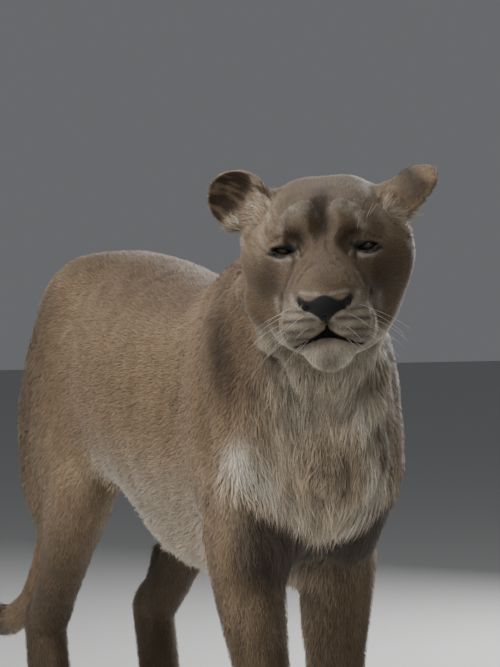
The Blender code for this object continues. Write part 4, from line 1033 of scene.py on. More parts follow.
    # dark hair round the lids, most above and at the corners; the band above is partly painted shade of the heavy upper
    # lid and brow
    gap = lid_gap(q)
    near = h * (v > -0.01) * (np.abs(au - EYE_GAP) < 0.034)
    c = mix(c, SOOT * 0.7, near * 0.92 * smooth_step(0.0075, 0.0035, gap) * smooth_step(-0.010, 0.002, w))
    c = mix(c, SOOT * 0.7, near * 0.85 * smooth_step(0.0042, 0.0026, gap))
    # bare black skin: nose, lips, rims of the lids
    c = mix(c, BLACK, bare_skin(q))
    # uneven tones of a worn coat
    c = c * (1 + 0.08 * noise(p, 0.045, 3) + 0.07 * noise(p, 0.016, 4) + 0.16 * (1 - h) * noise(p * (1, 1, 0.22), 0.015, 5) + 0.07 * (1 - h) * noise(p, 0.006, 6))[:, None]
    return np.clip(c, 0.001, 0.95)


def lid_gap(q):
    """Distance outward from the edge of each eye's opening, in the plane of the face."""
    a = np.abs(q[:, 0]) - EYE_GAP
    lift, r, tip = 0.0215, 0.0272, 0.20
    one = np.hypot(a - lift * tip * -1, q[:, 2] + lift) - r
    two = np.hypot(a - lift * tip, q[:, 2] - lift) - r
    return np.maximum(one, two)


UNCUT = build_flesh(0.0075, fine=False)


def hollowed(q):
    """1 inside the nostrils, which are cut into the smooth head."""
    u, v, w = q.T
    out = np.zeros(len(q))
    i = np.nonzero((np.abs(u) < 0.052) & (v > 0.02) & (w > -0.155) & (w < -0.048))[0]
    if len(i):
        p = q[i] @ HEAD.T + np.asarray(EYES_AT)
        zone = smooth_step(-0.092, -0.089, w[i]) * smooth_step(0.016, 0.020, np.abs(u[i])) * (v[i] > 0.085)
        out[i] = smooth_step(-0.0010, -0.0024, UNCUT(p) + depth(p)) * zone
    return out


def bare_skin(q):
    """1 where there is no hair: nose leather, lips and the rims of the lids."""
    u, v, w = q.T
    au = np.abs(u)
    # the nose: wide wings above, a narrow foot below
    wide = np.interp(w, (-0.0950, -0.0900, -0.0850, -0.0800, -0.0745, -0.0690, -0.0630, -0.0570, -0.0500), (0.0020, 0.0034, 0.0060, 0.0095, 0.0165, 0.0270, 0.0365, 0.0405, 0.0360))
    top = -0.0515 + 0.004 * np.cos(np.clip(au / 0.022, 0, 1.6) * math.pi)
    m = smooth_step(0.0015, -0.0015, au - wide) * smooth_step(0.0015, -0.0015, w - top) * smooth_step(0.084, 0.090, v) * smooth_step(-0.097, -0.093, w)
    half = np.interp(w, (-0.130, -0.106, -0.100, -0.094, -0.088), (0.0045, 0.0040, 0.0026, 0.0024, 0.0030))
    cleft = smooth_step(0, -0.0014, au - half) * smooth_step(-0.112, -0.108, w) * smooth_step(-0.080, -0.088, w) * smooth_step(0.06, 0.08, v)
    rim = np.where(w > 0.05 * au, 0.0032, 0.0024)
    lid = smooth_step(0, -0.0014, lid_gap(q) - rim) * smooth_step(-0.01, 0.0, v) * smooth_step(0.045, 0.035, v) * (np.abs(au - EYE_GAP) < 0.03)
    return np.clip(np.maximum(np.maximum(np.maximum(m, cleft), hollowed(q)), lid), 0, 1)


def lie_of_coat(p, n, part):
    """The way the hair points, along the skin."""
    q = head_coords(p)
    u, v, w = q.T
    x, y, z = p.T
    one = np.ones(len(p))

    def way(a, b, c):
        return np.stack([a * one, b * one, c * one], 1)

    d = {}
    front = smooth_step(-0.2, -0.8, n[:, 1]) * smooth_step(-0.40, -0.52, y)
    breast = way(-3.0 * (x + 0.02), 0.0, -1)
    d["trunk"] = way(0, 1, -0.40 * smooth_step(0.9, 0.2, n[:, 2])) * (1 - front)[:, None] + breast * front[:, None]
    d["shoulder"] = way(0, 0.55, -0.9) * (1 - front)[:, None] + breast * front[:, None]
    d["forearm"] = way(0, 0.12, -1)
    d["paw"] = way(-0.1, -0.85, -0.5)
    d["thigh"] = way(0, 0.45, -0.9)
    above = smooth_step(0.27, 0.33, z)
    d["shank"] = way(0, 0.65, -0.75) * above[:, None] + way(0, -0.12, -1) * (1 - above)[:, None]
    d["neck"] = way(0.05, 0.75, -0.55) * (1 - front)[:, None] + way(-2.2 * (x + 0.05), 0.05, -1) * front[:, None]
    path = fair([(*t, 0) for t in tail_path()], 8)[:, :3]
    step = np.gradient(path, axis=0)
    near = part["tail"] > 0.01
    d["tail"] = way(0, 1, 0)
    if near.any():
        k = ((p[near, None, :] - path[None]) ** 2).sum(2).argmin(1)
        d["tail"][near] = step[k]
    away = q - (0, 0.120, -0.052)
    away = normed(away)
    away[:, 1] -= 0.35
    away = away + (0, 0, -0.55) * smooth_step(-0.02, -0.11, v)[:, None]
    away = away + (0, -0.2, -0.8) * (smooth_step(-0.09, -0.14, w))[:, None]
    d["head"] = away @ HEAD.T
    e = np.zeros_like(p)
    for _, s, out, face in EARS:
        _, o, through, across = ear_axes(s, out, face)
        e[u * s > 0] = o
    d["ear"] = e
    total = np.zeros_like(p)
    for g in d:
        total += normed(d[g]) * part[g][:, None]
    total -= n * (total * n).sum(1)[:, None]
    return normed(total)


def coat_plan(p, n, part):
    """Length, width, height above the skin and number per square metre of the tufts, and how long-haired each place is."""
    q = head_coords(p)
    u, v, w = q.T
    x, y, z = p.T
    au = np.abs(u)
    table = {  # length, width, tufts per square metre
        "trunk": (0.0110, 0.00105, 150e3), "shoulder": (0.0110, 0.0010, 170e3), "forearm": (0.009, 0.0010, 190e3), "paw": (0.006, 0.0009, 240e3),
        "thigh": (0.0110, 0.00105, 145e3), "shank": (0.009, 0.0010, 170e3), "neck": (0.0135, 0.0009, 250e3), "tail": (0.012, 0.0011, 180e3),
        "head": (0.0065, 0.00085, 430e3), "ear": (0.007, 0.0008, 380e3),
    }
    length = sum(part[g] * t[0] for g, t in table.items())
    width = sum(part[g] * t[1] for g, t in table.items())
    many = sum(part[g] * t[2] for g, t in table.items())
    high = depth(p) * 1.05 + 0.0006
    h = part["head"]
    face = h * smooth_step(-0.05, 0.02, v)
    length = length * (1 - 0.30 * face) + 0.004 * h * smooth_step(-0.02, -0.10, v)
    width = width * (1 - 0.18 * face)
    many = many * (1 + 0.5 * face)
    chin = h * spot(q, (0, 0.06, -0.154), (0.045, 0.06, 0.018))
    length = length + 0.020 * chin
    high = high + 0.004 * chin
    pads = h * both(q, (0.036, 0.085, -0.095), (0.03, 0.04, 0.03))
    length = length - 0.0015 * pads
    chest = depth(p) > 0.0075
    length = np.where(chest, length * (1 + 2.0 * smooth_step(0.0065, 0.0115, depth(p))), length)
    width = width * (1 - 0.15 * smooth_step(0.0065, 0.0115, depth(p)) * (1 - h))
    many = many * (1 + 0.35 * smooth_step(0.0065, 0.0115, depth(p)) * (1 - h))
    under = part["trunk"] * smooth_step(-0.3, -0.8, n[:, 2])
    length = length + 0.020 * under
    high = high + 0.010 * under * smooth_step(0.02, 0.10, np.abs(x))
    fringe = line(p, FRINGE, 0.022)
    length = length + 0.020 * fringe
    high = high + 0.007 * fringe
    ridge = sum((h + part["ear"]) * (v < -0.02) * (u * s > 0) * line(np.stack([u * s, 0.988 * w - 0.156 * v], 1), chain, 0.010) for s, chain in EAR_RIDGES)
    length = length + 0.013 * ridge
    high = high + 0.003 * ridge
    for _, s, out, face_way in EARS:
        at, o, through, across = ear_axes(s, out, face_way)
        inside = part["ear"] * (u * s > 0) * smooth_step(-0.2, 0.4, n @ through) * smooth_step(0.034, 0.010, (p - at) @ o)
        length = length + 0.014 * inside
        high = high + 0.005 * inside
    length = length + 0.014 * spot(np.stack([np.abs(x), y, z], 1), (0.166, -0.455, 0.568), (0.02, 0.03, 0.03))
    f = seen_from_front(np.stack([au, v, w], 1))
    edge = f[:, 1] - np.interp(au, LIP_AT, LIP_TOP)
    under_edge = f[:, 1] - np.interp(au, LIP_AT, LIP_LOW)
    lips = h * (v > 0.02) * smooth_step(0.060, 0.046, au) * smooth_step(0.012, 0.002, edge) * smooth_step(-0.007, -0.002, under_edge)
    length = length * (1 - 0.58 * lips)
    high = high * (1 - 0.45 * h * (v > 0.02) * smooth_step(0.070, 0.055, au) * smooth_step(0.014, 0.004, edge) * smooth_step(-0.010, -0.003, under_edge))
    bald = h * (v > 0.02) * smooth_step(0.051, 0.049, au) * smooth_step(0.0010, 0.0, edge) * smooth_step(-0.0010, 0.0, under_edge)
    bald = np.maximum(bald, h * smooth_step(0.0010, 0.0, au - np.interp(w, (-0.130, -0.106, -0.100, -0.094, -0.088), (0.0045, 0.0040, 0.0026, 0.0024, 0.0030))) * smooth_step(-0.112, -0.108, w) * smooth_step(-0.080, -0.088, w) * smooth_step(0.06, 0.08, v))
    eyes = h * smooth_step(0.012, 0.0, lid_gap(q)) * (v > -0.02)
    length = length * (1 - 0.45 * eyes)
    rear = (part["thigh"] + part["shank"] * above_hock(z)) * smooth_step(0.3, 0.8, n[:, 1])
    length = length + 0.008 * rear
    tip = part["tail"] * smooth_step(0.93, 1.0, y)
    length = length + 0.035 * tip
    high = high + 0.004 * tip
    many = many * (1 - np.maximum(bare_skin(q), bald) * (h > 0.3)) * (z > 0.002)
    return length, width, high, np.clip(many, 0, None)


def above_hock(z):
    return smooth_step(0.27, 0.33, z)


# ---------------------------------------------------------------- meshes
def material(name, roughness, sheen=0.0, specular=0.5, bump=None, coat=0.0, grain=0.0):
    """A finish that reads the piece's own colours, with a fine procedural unevenness."""
    m = bpy.data.materials.new(name)
    m.use_nodes = True
    nt = m.node_tree
    b = nt.nodes["Principled BSDF"]
    b.inputs["Roughness"].default_value = roughness
    b.inputs["Specular IOR Level"].default_value = specular
    b.inputs["Sheen Weight"].default_value = sheen
    b.inputs["Sheen Roughness"].default_value = 0.4
    b.inputs["Coat Weight"].default_value = coat
    b.inputs["Coat Roughness"].default_value = 0.04
    at = nt.nodes.new("ShaderNodeAttribute")
    at.attribute_name = "coat"
    colour = at.outputs["Color"]
    where = nt.nodes.new("ShaderNodeTexCoord")
    if grain:
        n = nt.nodes.new("ShaderNodeTexNoise")
        n.inputs["Scale"].default_value = 420.0
        n.inputs["Detail"].default_value = 3.0
        nt.links.new(where.outputs["Object"], n.inputs["Vector"])
        r = nt.nodes.new("ShaderNodeMapRange")
        r.inputs["To Min"].default_value = 1 - grain
        r.inputs["To Max"].default_value = 1 + grain
        nt.links.new(n.outputs["Fac"], r.inputs["Value"])
        x = nt.nodes.new("ShaderNodeVectorMath")
        x.operation = "SCALE"
        nt.links.new(colour, x.inputs[0])
        nt.links.new(r.outputs["Result"], x.inputs["Scale"])
        colour = x.outputs["Vector"]
    nt.links.new(colour, b.inputs["Base Color"])
    if bump:
        scale, height = bump
        n = nt.nodes.new("ShaderNodeTexNoise")
        n.inputs["Scale"].default_value = scale
        n.inputs["Detail"].default_value = 4.0
        nt.links.new(where.outputs["Object"], n.inputs["Vector"])
        k = nt.nodes.new("ShaderNodeBump")
        k.inputs["Strength"].default_value = 0.6
        k.inputs["Distance"].default_value = height
        nt.links.new(n.outputs["Fac"], k.inputs["Height"])
        nt.links.new(k.outputs["Normal"], b.inputs["Normal"])
    return m


def new_mesh(name, points, faces, colour, finish, uv=None, normals=None):
    """A mesh object from arrays; faces may have -1 as their last corner."""
    me = bpy.data.meshes.new(name)
    faces = np.asarray(faces)
    if faces.shape[1] == 4:
        sizes = np.where(faces[:, 3] < 0, 3, 4)
        flat = faces[faces >= 0]
    else:
        sizes = np.full(len(faces), 3)
        flat = faces.ravel()
    me.vertices.add(len(points))
    me.vertices.foreach_set("co", (points + OFFSET).astype(np.float32).ravel())
    me.loops.add(len(flat))
    me.loops.foreach_set("vertex_index", flat.astype(np.int32))
    me.polygons.add(len(faces))
    me.polygons.foreach_set("loop_start", np.concatenate([[0], np.cumsum(sizes)[:-1]]).astype(np.int32))
    me.update(calc_edges=True)
    me.validate()
    c = me.color_attributes.new("coat", "FLOAT_COLOR", "POINT")
    c.data.foreach_set("color", np.concatenate([colour, np.ones((len(colour), 1))], 1).astype(np.float32).ravel())
    if uv is not None:
        layer = me.uv_layers.new(name="OFBake")
        layer.uv.foreach_set("vector", uv[flat].astype(np.float32).ravel())
    if normals is not None:
        me.normals_split_custom_set_from_vertices(normals.astype(np.float32))
    me.materials.append(finish)
    ob = bpy.data.objects.new(name, me)
    bpy.context.scene.collection.objects.link(ob)
    return ob


def tufts(rng, root, n, lie, length, width, high, colour, uv, rows=2, droop=0.0, wave=0.0, mess=0.16, uneven=0.19, level=(0.52, 0.90, 1.14, 1.24)):
    """Thin pointed blades that rise from the skin and lie over along the coat. Returns points, triangles, colours, uv and normals."""
    k = len(root)
    turn_ = rng.normal(0, mess, k) + 0.22 * noise(root, 0.020, 7) + 0.10 * noise(root, 0.007, 8)
    side = np.cross(n, lie)
    along = lie * np.cos(turn_)[:, None] + side * np.sin(turn_)[:, None]
    side = np.cross(n, along)
    roll = rng.normal(0, 0.45, k)
    wide = side * np.cos(roll)[:, None] + n * np.sin(roll)[:, None]
    face = n * np.cos(roll)[:, None] - side * np.sin(roll)[:, None]
    length = length * rng.uniform(0.75, 1.25, k)
    width = width * rng.uniform(0.8, 1.25, k)
    high = high * rng.uniform(0.55, 1.05, k) * (1 + 0.25 * noise(root, 0.012, 9))
    bend = rng.normal(0, 0.10, k)
    phase = rng.uniform(0, 6.28, k)
    tone = np.clip(1 + uneven * rng.normal(0, 1, k), 0.40, 1.8)
    pts = np.empty((k, 2 * rows + 1, 3))
    col = np.empty((k, 2 * rows + 1, 3))
    out = np.empty((k, 2 * rows + 1, 2))
    for j in range(rows + 1):
        s = j / rows
        mid = root + along * (length * s)[:, None] + n * (high * (1.95 * s - 1.1 * s * s) - 0.0004)[:, None]
        mid = mid + side * (length * (bend * s * s + wave * math.sin(s * 5.0) * np.cos(phase)))[:, None]
        if droop:
            mid[:, 2] -= droop * length * s * s
        half = width * 0.5 * (0.85 + 0.6 * s) * (1 - s) ** 0.7 if j < rows else 0
        tint = colour * (tone * np.interp(s, (0, 0.35, 0.7, 1), level))[:, None]
        if j < rows:
            for i, sign in ((2 * j, -1), (2 * j + 1, 1)):
                pts[:, i] = mid + wide * (sign * half)[:, None]
                col[:, i] = tint
                out[:, i] = uv + (sign * 0.0012, -0.0014 + 0.0028 * s)
        else:
            pts[:, -1] = mid
            col[:, -1] = tint
            out[:, -1] = uv + (0, 0.0014)
    one = []
    for j in range(rows - 1):
        a = 2 * j
        one += [(a, a + 3, a + 1), (a, a + 2, a + 3)]
    one.append((2 * rows - 2, 2 * rows, 2 * rows - 1))
    tri = (np.arange(k)[:, None, None] * (2 * rows + 1) + np.array(one)[None]).reshape(-1, 3)
    pts[..., 2] = np.maximum(pts[..., 2], 0.0004)
    nor = normed(n * 0.55 + face * 0.45)
    nor = np.repeat(nor[:, None], 2 * rows + 1, 1)
    return pts.reshape(-1, 3), tri, np.clip(col, 0.001, 0.95).reshape(-1, 3), np.clip(out, 0.0, 1.0).reshape(-1, 2), nor.reshape(-1, 3)


def roots(rng, p, tri, many):
    """Places on the skin for so many tufts a square metre at each corner: the triangle and the shares of its corners."""
    a = np.linalg.norm(np.cross(p[tri[:, 1]] - p[tri[:, 0]], p[tri[:, 2]] - p[tri[:, 0]]), axis=1) / 2
    want = a * many[tri].mean(1)
    count = np.floor(want + rng.uniform(0, 1, len(want))).astype(int)
    which = np.repeat(np.arange(len(tri)), count)
    i = np.arange(len(which))
    r, s = (0.5 + i * 0.7548776662) % 1, (0.5 + i * 0.5698402910) % 1
    over = r + s > 1
    r, s = np.where(over, 1 - r, r), np.where(over, 1 - s, s)
    return which, np.stack([1 - r - s, r, s], 1)


# ---------------------------------------------------------------- skin
rng = np.random.default_rng(7)
LONG = 0.020            # tufts longer than this bend in more places
fine, points, faces, tri, edges = skin_mesh()
normals = vertex_normals(points, tri)
soft_normals = normed(spread(normals, edges, 2))
part = membership(fine, points)
colours = coat_colour(points, soft_normals, part)
lie = lie_of_coat(points, soft_normals, part)
lie = normed(spread(lie, edges, 6))
length, width, high, many = coat_plan(points, soft_normals, part)
# the nostrils are bare and dark, out to the first corners beyond their rims
deep = hollowed(head_coords(points)) > 0.3
ring = deep.copy()
for a, b in ((0, 1), (1, 0)):
    ring[edges[deep[edges[:, a]], b]] = True
colours[ring] = BLACK * 0.8
many[ring] = 0

hide = material("lioness_skin", 0.75, sheen=0.1, specular=0.3, bump=(700.0, 0.0006), grain=0.12)
hair = material("lioness_coat", 0.62, sheen=0.15, specular=0.35, grain=0.10)
# the skin under the hair is painted darker, as shade among the tufts; bare skin keeps its full colour
skin = new_mesh("skin", points, faces, colours * (0.72 + 0.28 * bare_skin(head_coords(points)))[:, None], hide)


def unwrap(ob):
    """A map of the skin's own shape, in flat pieces."""
    bpy.context.view_layer.objects.active = ob
    ob.select_set(True)
    ob.data.uv_layers.new(name="OFBake")
    bpy.ops.object.mode_set(mode="EDIT")
    bpy.ops.mesh.select_all(action="SELECT")
    bpy.ops.uv.smart_project(angle_limit=1.15, island_margin=0.004, scale_to_bounds=True)
    bpy.ops.object.mode_set(mode="OBJECT")
    ob.select_set(False)
    uv = np.empty(len(ob.data.loops) * 2, np.float32)
    ob.data.uv_layers["OFBake"].uv.foreach_get("vector", uv)
    return uv.reshape(-1, 2)


corner_uv = unwrap(skin)
# the map's places for each triangle's corners, in the order of split_quads
start = np.concatenate([[0], np.cumsum(np.where(faces[:, 3] < 0, 3, 4))[:-1]])
quad = faces[:, 3] >= 0
sq, st = start[quad], start[~quad]
tri_uv = np.concatenate([corner_uv[np.stack([sq, sq + 1, sq + 2], 1)], corner_uv[np.stack([sq, sq + 2, sq + 3], 1)], corner_uv[np.stack([st, st + 1, st + 2], 1)]])
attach(skin, "root")
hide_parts(*[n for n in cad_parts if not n.startswith("eye_")])

# ---------------------------------------------------------------- coat
BUDGET = 1.47e6         # triangles of the whole coat
area = np.linalg.norm(np.cross(points[tri[:, 1]] - points[tri[:, 0]], points[tri[:, 2]] - points[tri[:, 0]]), axis=1) / 2
cost = (area * many[tri].mean(1) * np.where(length[tri].mean(1) > LONG, 7, 3)).sum()
which, share = roots(rng, points, tri, many * (BUDGET / cost) * (1.0))


def at_roots(values):
    v = values[tri[which]]
    return (v * (share if v.ndim == 2 else share[..., None])).sum(1)


root, root_n, root_lie = at_roots(points), normed(at_roots(normals)), at_roots(lie)
root_lie = normed(root_lie - root_n * (root_lie * root_n).sum(1)[:, None])
root_uv = (tri_uv[which] * share[..., None]).sum(1)
root_colour = at_roots(colours)
root_length, root_width, root_high = at_roots(length), at_roots(width), at_roots(high)
q = head_coords(root)
names = ["head", "ears", "neck", "chest", "shoulder_left", "shoulder_right", "flank_left", "flank_right", "rump", "thigh_left", "thigh_right", "foreleg_left", "foreleg_right", "hindleg_left", "hindleg_right", "tail"]
group = {g: at_roots(w) for g, w in part.items()}
best = np.array(list(group))[np.argmax(np.stack(list(group.values())), 0)]
left = root[:, 0] > 0
place = np.select(
    [best == "ear", best == "head", best == "tail", best == "neck", np.isin(best, ("trunk", "shoulder")) & (root[:, 1] < -0.52), best == "shoulder", np.isin(best, ("forearm", "paw")) & (root[:, 1] < 0), best == "thigh", np.isin(best, ("shank", "paw", "forearm")), root[:, 1] > 0.30],
    ["ears", "head", "tail", "neck", "chest", np.where(left, "shoulder_left", "shoulder_right"), np.where(left, "foreleg_left", "foreleg_right"), np.where(left, "thigh_left", "thigh_right"), np.where(left, "hindleg_left", "hindleg_right"), "rump"],
    np.where(left, "flank_left", "flank_right"),
)
long_ = root_length > LONG
for name in names:
    for kind, m in (("", ~long_), ("_long", long_)):
        here = np.nonzero((place == name) & m)[0]
        rows = 4 if kind else 2
        limit = 190000 // (2 * rows - 1)
        for k, i in enumerate(np.array_split(here, max(1, math.ceil(len(here) / limit)))):
            if len(i) < 30:
                continue
            pts, t, c, uv, nor = tufts(rng, root[i], root_n[i], root_lie[i], root_length[i], root_width[i] * (1.1 if kind else 1), root_high[i], root_colour[i], root_uv[i], rows=rows, droop=0.10 if kind else 0.0, wave=0.05 if kind else 0.0, uneven=0.27 if kind else 0.19)
            ob = new_mesh(f"coat_{name}{kind}" + (f"_{k + 1}" if k else ""), pts, t, c, hair, uv, nor)
            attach(ob, "root")

# ---------------------------------------------------------------- eyes
AZIMUTH, PITCH = math.radians(22.0), math.radians(2.0)
across, ahead = vec(math.cos(AZIMUTH), -math.sin(AZIMUTH), 0), vec(math.sin(AZIMUTH), math.cos(AZIMUTH), 0)
forward = ahead * math.cos(PITCH) - vec(0, 0, math.sin(PITCH))
upward = ahead * math.sin(PITCH) + vec(0, 0, math.cos(PITCH))
FOCAL = 2840.0 / 667          # of the picture's height
DISTANCE = 4.06
EYES_IN_VIEW = ((325.3 - 250) / 667 / FOCAL, -(246.5 - 333.5) / 667 / FOCAL)
eye_point = np.asarray(EYES_AT) - DISTANCE * (forward + EYES_IN_VIEW[0] * across + EYES_IN_VIEW[1] * upward)


def eyeball(name, s):
    """A ball whose front bulges into the cornea, with the iris and pupil painted by the angle from its line of sight."""
    centre = in_head(s * EYE_GAP, 0, 0)
    gaze = unit(eye_point - centre)
    basis = axes(gaze, (1, 0, 0))
    theta = np.concatenate([np.linspace(0.02, 0.75, 46), np.linspace(0.80, math.pi - 0.02, 30)])
    phi = np.arange(96) / 96 * 2 * math.pi
    t, f = np.meshgrid(theta, phi, indexing="ij")
    r = EYE_R * 0.985 + 0.0006 * np.exp(-((t / 0.42) ** 2))
    local = np.stack([np.sin(t) * np.cos(f), np.sin(t) * np.sin(f), np.cos(t)], -1) * r[..., None]
    pts = local.reshape(-1, 3) @ basis.T + centre
    rows_, cols = t.shape
    i, j = np.meshgrid(np.arange(rows_ - 1), np.arange(cols), indexing="ij")
    j2 = (j + 1) % cols
    quads = np.stack([i * cols + j, (i + 1) * cols + j, (i + 1) * cols + j2, i * cols + j2], -1).reshape(-1, 4)
    caps = []
    n0 = len(pts)
    pts = np.concatenate([pts, [centre + gaze * (EYE_R * 0.985 + 0.0006), centre - gaze * EYE_R * 0.985]])
    for b in range(cols):
        caps.append((n0, b, (b + 1) % cols, -1))
        caps.append((n0 + 1, (rows_ - 1) * cols + (b + 1) % cols, (rows_ - 1) * cols + b, -1))
    th = np.append(t.ravel(), [0.0, math.pi])
    ph = np.append(f.ravel(), [0.0, 0.0])
    fibre = np.sin(ph * 31) * 0.12 + np.sin(ph * 57 + th * 9) * 0.10
    # a dark brown iris, darkened from a lioness's amber as painted shade of the lids
    iris = linear(58, 40, 24)[None] * (1 + fibre)[:, None] * np.interp(th, (0.16, 0.30, 0.45, 0.52), (1.25, 1.0, 0.75, 0.35))[:, None]
    c = mix(np.tile(BLACK * 0.5, (len(th), 1)), iris, smooth_step(0.175, 0.200, th))
    c = mix(c, linear(52, 40, 32), smooth_step(0.49, 0.55, th))
    ob = new_mesh(name, pts, np.concatenate([quads, np.array(caps)]), np.clip(c, 0.0005, 1), eye_finish)
    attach(ob, "root")
    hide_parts("eye_left" if s > 0 else "eye_right")
    return ob


eye_finish = material("lioness_eye", 0.25, specular=0.5, coat=1.0)
eyeball("eyeball_left", 1)
eyeball("eyeball_right", -1)

# ---------------------------------------------------------------- lips, and painted shade in the fold of the mouth
def lips():
    """The dark skin between the closed lips, drawn across the fold: partly the lips' own black skin, partly a dark
    sheet standing as painted shade in the fold and under the pads.
    """
    cols, rows = 129, 11
    u, t = np.meshgrid(np.linspace(-0.0495, 0.0495, cols), np.linspace(0, 1, rows), indexing="ij")
    top, low = np.interp(np.abs(u), LIP_AT, LIP_TOP), np.interp(np.abs(u), LIP_AT, LIP_LOW)
    b = top + (low - top) * t
    a = head_coords(points)
    near = (np.abs(a[:, 0]) < 0.07) & (a[:, 1] > 0.0) & (np.abs(a[:, 2] + 0.125) < 0.05)
    tree = BVHTree.FromPolygons(points.tolist(), tri[near[tri].all(1)].tolist())
    back = Vector(HEAD @ unit((0, -0.988, -0.156)))
    hit = np.full(u.shape, np.nan)
    for k in np.ndindex(u.shape):
        place = tree.ray_cast(Vector(in_head(u[k], 0.16, (b[k] + 0.156 * 0.16) / 0.988)), back)[0]
        if place:
            hit[k] = head_coords(np.array(place[:])[None])[0, 1]
    hit[np.isnan(hit)] = np.nanmin(hit)
    rim = hit[:, :1] * (1 - t) + hit[:, -1:] * t
    most = hit.copy()
    for axis, by in ((0, 1), (0, -1), (1, 1), (1, -1)):
        most[1:-1, 1:-1] = np.maximum(most, np.roll(most, by, axis))[1:-1, 1:-1]
    v = np.maximum(rim - 0.0040 * t * (1 - t), most + 0.0003)
    for _ in range(4):
        v[1:-1] = np.maximum((v[:-2] + 2 * v[1:-1] + v[2:]) / 4, hit[1:-1] + 0.0003)
        v[:, 1:-1] = np.maximum((v[:, :-2] + 2 * v[:, 1:-1] + v[:, 2:]) / 4, hit[:, 1:-1] + 0.0003)
    pts = np.stack([u, v, (b + 0.156 * v) / 0.988], -1).reshape(-1, 3) @ HEAD.T + np.asarray(EYES_AT)
    i, j = np.meshgrid(np.arange(cols - 1), np.arange(rows - 1), indexing="ij")
    quads = np.stack([i * rows + j, i * rows + j + 1, (i + 1) * rows + j + 1, (i + 1) * rows + j], -1).reshape(-1, 4)
    # black of the lips and painted shade of the fold
    ob = new_mesh("lips", pts, quads, np.tile(BLACK * 0.55, (len(pts), 1)), material("lioness_lips_and_shade", 0.8, specular=0.15, grain=0.05))
    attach(ob, "root")


lips()

# ---------------------------------------------------------------- whiskers
whisker_finish = material("lioness_whiskers", 0.4, specular=0.5, grain=0.02)


def bristles(name, starts, ways, lengths, sag, thick, colour):
    """Long tapering hairs, each a thin five-sided tube that bends down to its tip."""
    sides, steps = 5, 10
    pts, quads, col = [], [], []
    for a, d, l, g in zip(starts, ways, lengths, sag):
        d = unit(d)
        base = len(pts)
        u = unit(np.cross(d, (0, 0, 1)))
        w = np.cross(u, d)
        for k in range(steps + 1):
            s = k / steps
            mid = a + d * l * s - vec(0, 0, 1) * g * l * s * s
            r = thick * (1 - s) ** 0.8 + 0.00006
            for m in range(sides):
                b = m / sides * 2 * math.pi
                pts.append(mid + (u * math.cos(b) + w * math.sin(b)) * r)
                col.append(colour * (0.75 + 0.25 * s))
        for k in range(steps):
            for m in range(sides):
                i, j = base + k * sides, (m + 1) % sides
                quads.append((i + m, i + j, i + sides + j, i + sides + m))
        quads.append((base, base + 4, base + 3, -1))
        quads.append((base, base + 3, base + 2, -1))
        quads.append((base, base + 2, base + 1, -1))
        top = base + steps * sides
        quads.append((top, top + 1, top + 2, -1))
        quads.append((top, top + 2, top + 3, -1))
        quads.append((top, top + 3, top + 4, -1))
    ob = new_mesh(name, np.array(pts), np.array(quads), np.array(col), whisker_finish)
    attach(ob, "root")


def on_skin(*at):
    return settle(lambda p: fine(p) + depth(p), in_head(*at)[None], 8, 0.01)[0]


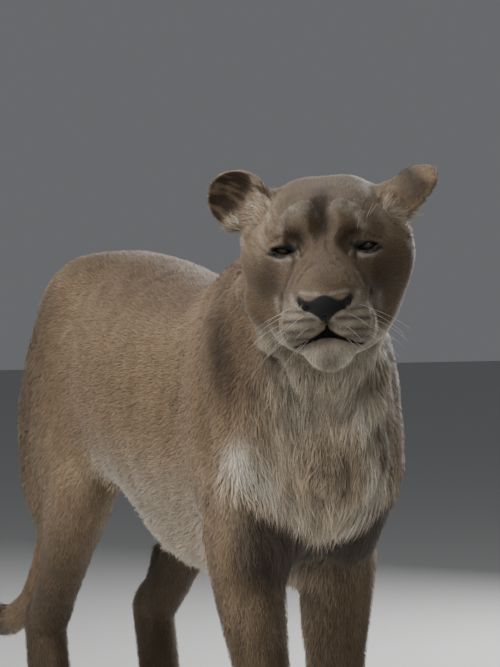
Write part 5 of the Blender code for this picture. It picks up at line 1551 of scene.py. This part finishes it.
for s, side in ((1, "left"), (-1, "right")):
    a, d, l, g = [], [], [], []
    for k, w0 in enumerate((-0.084, -0.094, -0.104)):
        for j in range(4):
            v0 = 0.092 - 0.011 * j
            a.append(on_skin(s * (0.030 + 0.0065 * j), v0 + 0.010, w0 - 0.001 * j))
            d.append(HEAD @ vec(s * (0.85 + 0.06 * j), 0.20 - 0.22 * j * 0.6, -0.30 - 0.16 * k + rng.normal(0, 0.06)))
            l.append(0.028 + 0.009 * j + rng.uniform(-0.008, 0.010))
            g.append(0.22 + rng.uniform(0, 0.12))
    bristles("whiskers_" + side, a, d, l, g, 0.00019, linear(214, 206, 192))
    a, d, l, g = [], [], [], []
    for j in range(4):
        a.append(on_skin(s * (0.048 + 0.004 * j), 0.010, 0.030 + 0.002 * j))
        d.append(HEAD @ vec(s * (0.15 + 0.10 * j), 0.55, 0.75 + rng.normal(0, 0.1)))
        l.append(0.034 + rng.uniform(-0.008, 0.010))
        g.append(0.15)
    bristles("brow_hairs_" + side, a, d, l, g, 0.00014, linear(214, 206, 192))

# ---------------------------------------------------------------- studio
me = bpy.data.meshes.new("floor")
me.from_pydata([(-14, -12, 0), (14, -12, 0), (14, 16, 0), (-14, 16, 0)], [], [(0, 1, 2, 3)])
floor_finish = bpy.data.materials.new("studio_floor")
floor_finish.use_nodes = True
floor_finish.node_tree.nodes["Principled BSDF"].inputs["Base Color"].default_value = (0.50, 0.50, 0.49, 1)
floor_finish.node_tree.nodes["Principled BSDF"].inputs["Roughness"].default_value = 0.9
me.materials.append(floor_finish)
floor = bpy.data.objects.new("floor", me)
bpy.context.scene.collection.objects.link(floor)

world = bpy.data.worlds.new("studio")
bpy.context.scene.world = world
world.use_nodes = True
world.node_tree.nodes["Background"].inputs[0].default_value = (0.93, 0.95, 1.0, 1)
world.node_tree.nodes["Background"].inputs[1].default_value = 0.15


def lamp(name, at, aim, size, power, colour=(1, 1, 1)):
    data = bpy.data.lights.new(name, "AREA")
    data.shape = "DISK"
    data.size = size
    data.energy = power
    data.color = colour
    ob = bpy.data.objects.new(name, data)
    bpy.context.scene.collection.objects.link(ob)
    ob.location = at
    ob.rotation_euler = (Vector(aim) - Vector(at)).to_track_quat("-Z", "Y").to_euler()


lamp("key", (-2.5, -0.9, 2.3), (0, -0.45, 0.9), 1.3, 88)
lamp("top", (0.0, -0.4, 3.0), (0, -0.4, 0.8), 1.8, 37)
lamp("front", (-1.0, -4.2, 2.0), (0, -0.6, 0.85), 1.6, 40)
lamp("back", (2.6, 1.6, 1.9), (0, -0.4, 0.8), 1.5, 150)

data = bpy.data.cameras.new("camera")
data.sensor_width = 36.0
data.sensor_fit = "AUTO"
data.lens = FOCAL * 36.0
data.clip_end = 100
camera = bpy.data.objects.new("camera", data)
bpy.context.scene.collection.objects.link(camera)
at = eye_point + OFFSET
camera.matrix_world = Matrix([[across[i], upward[i], -forward[i], at[i]] for i in range(3)] + [[0, 0, 0, 1]])
bpy.context.scene.camera = camera
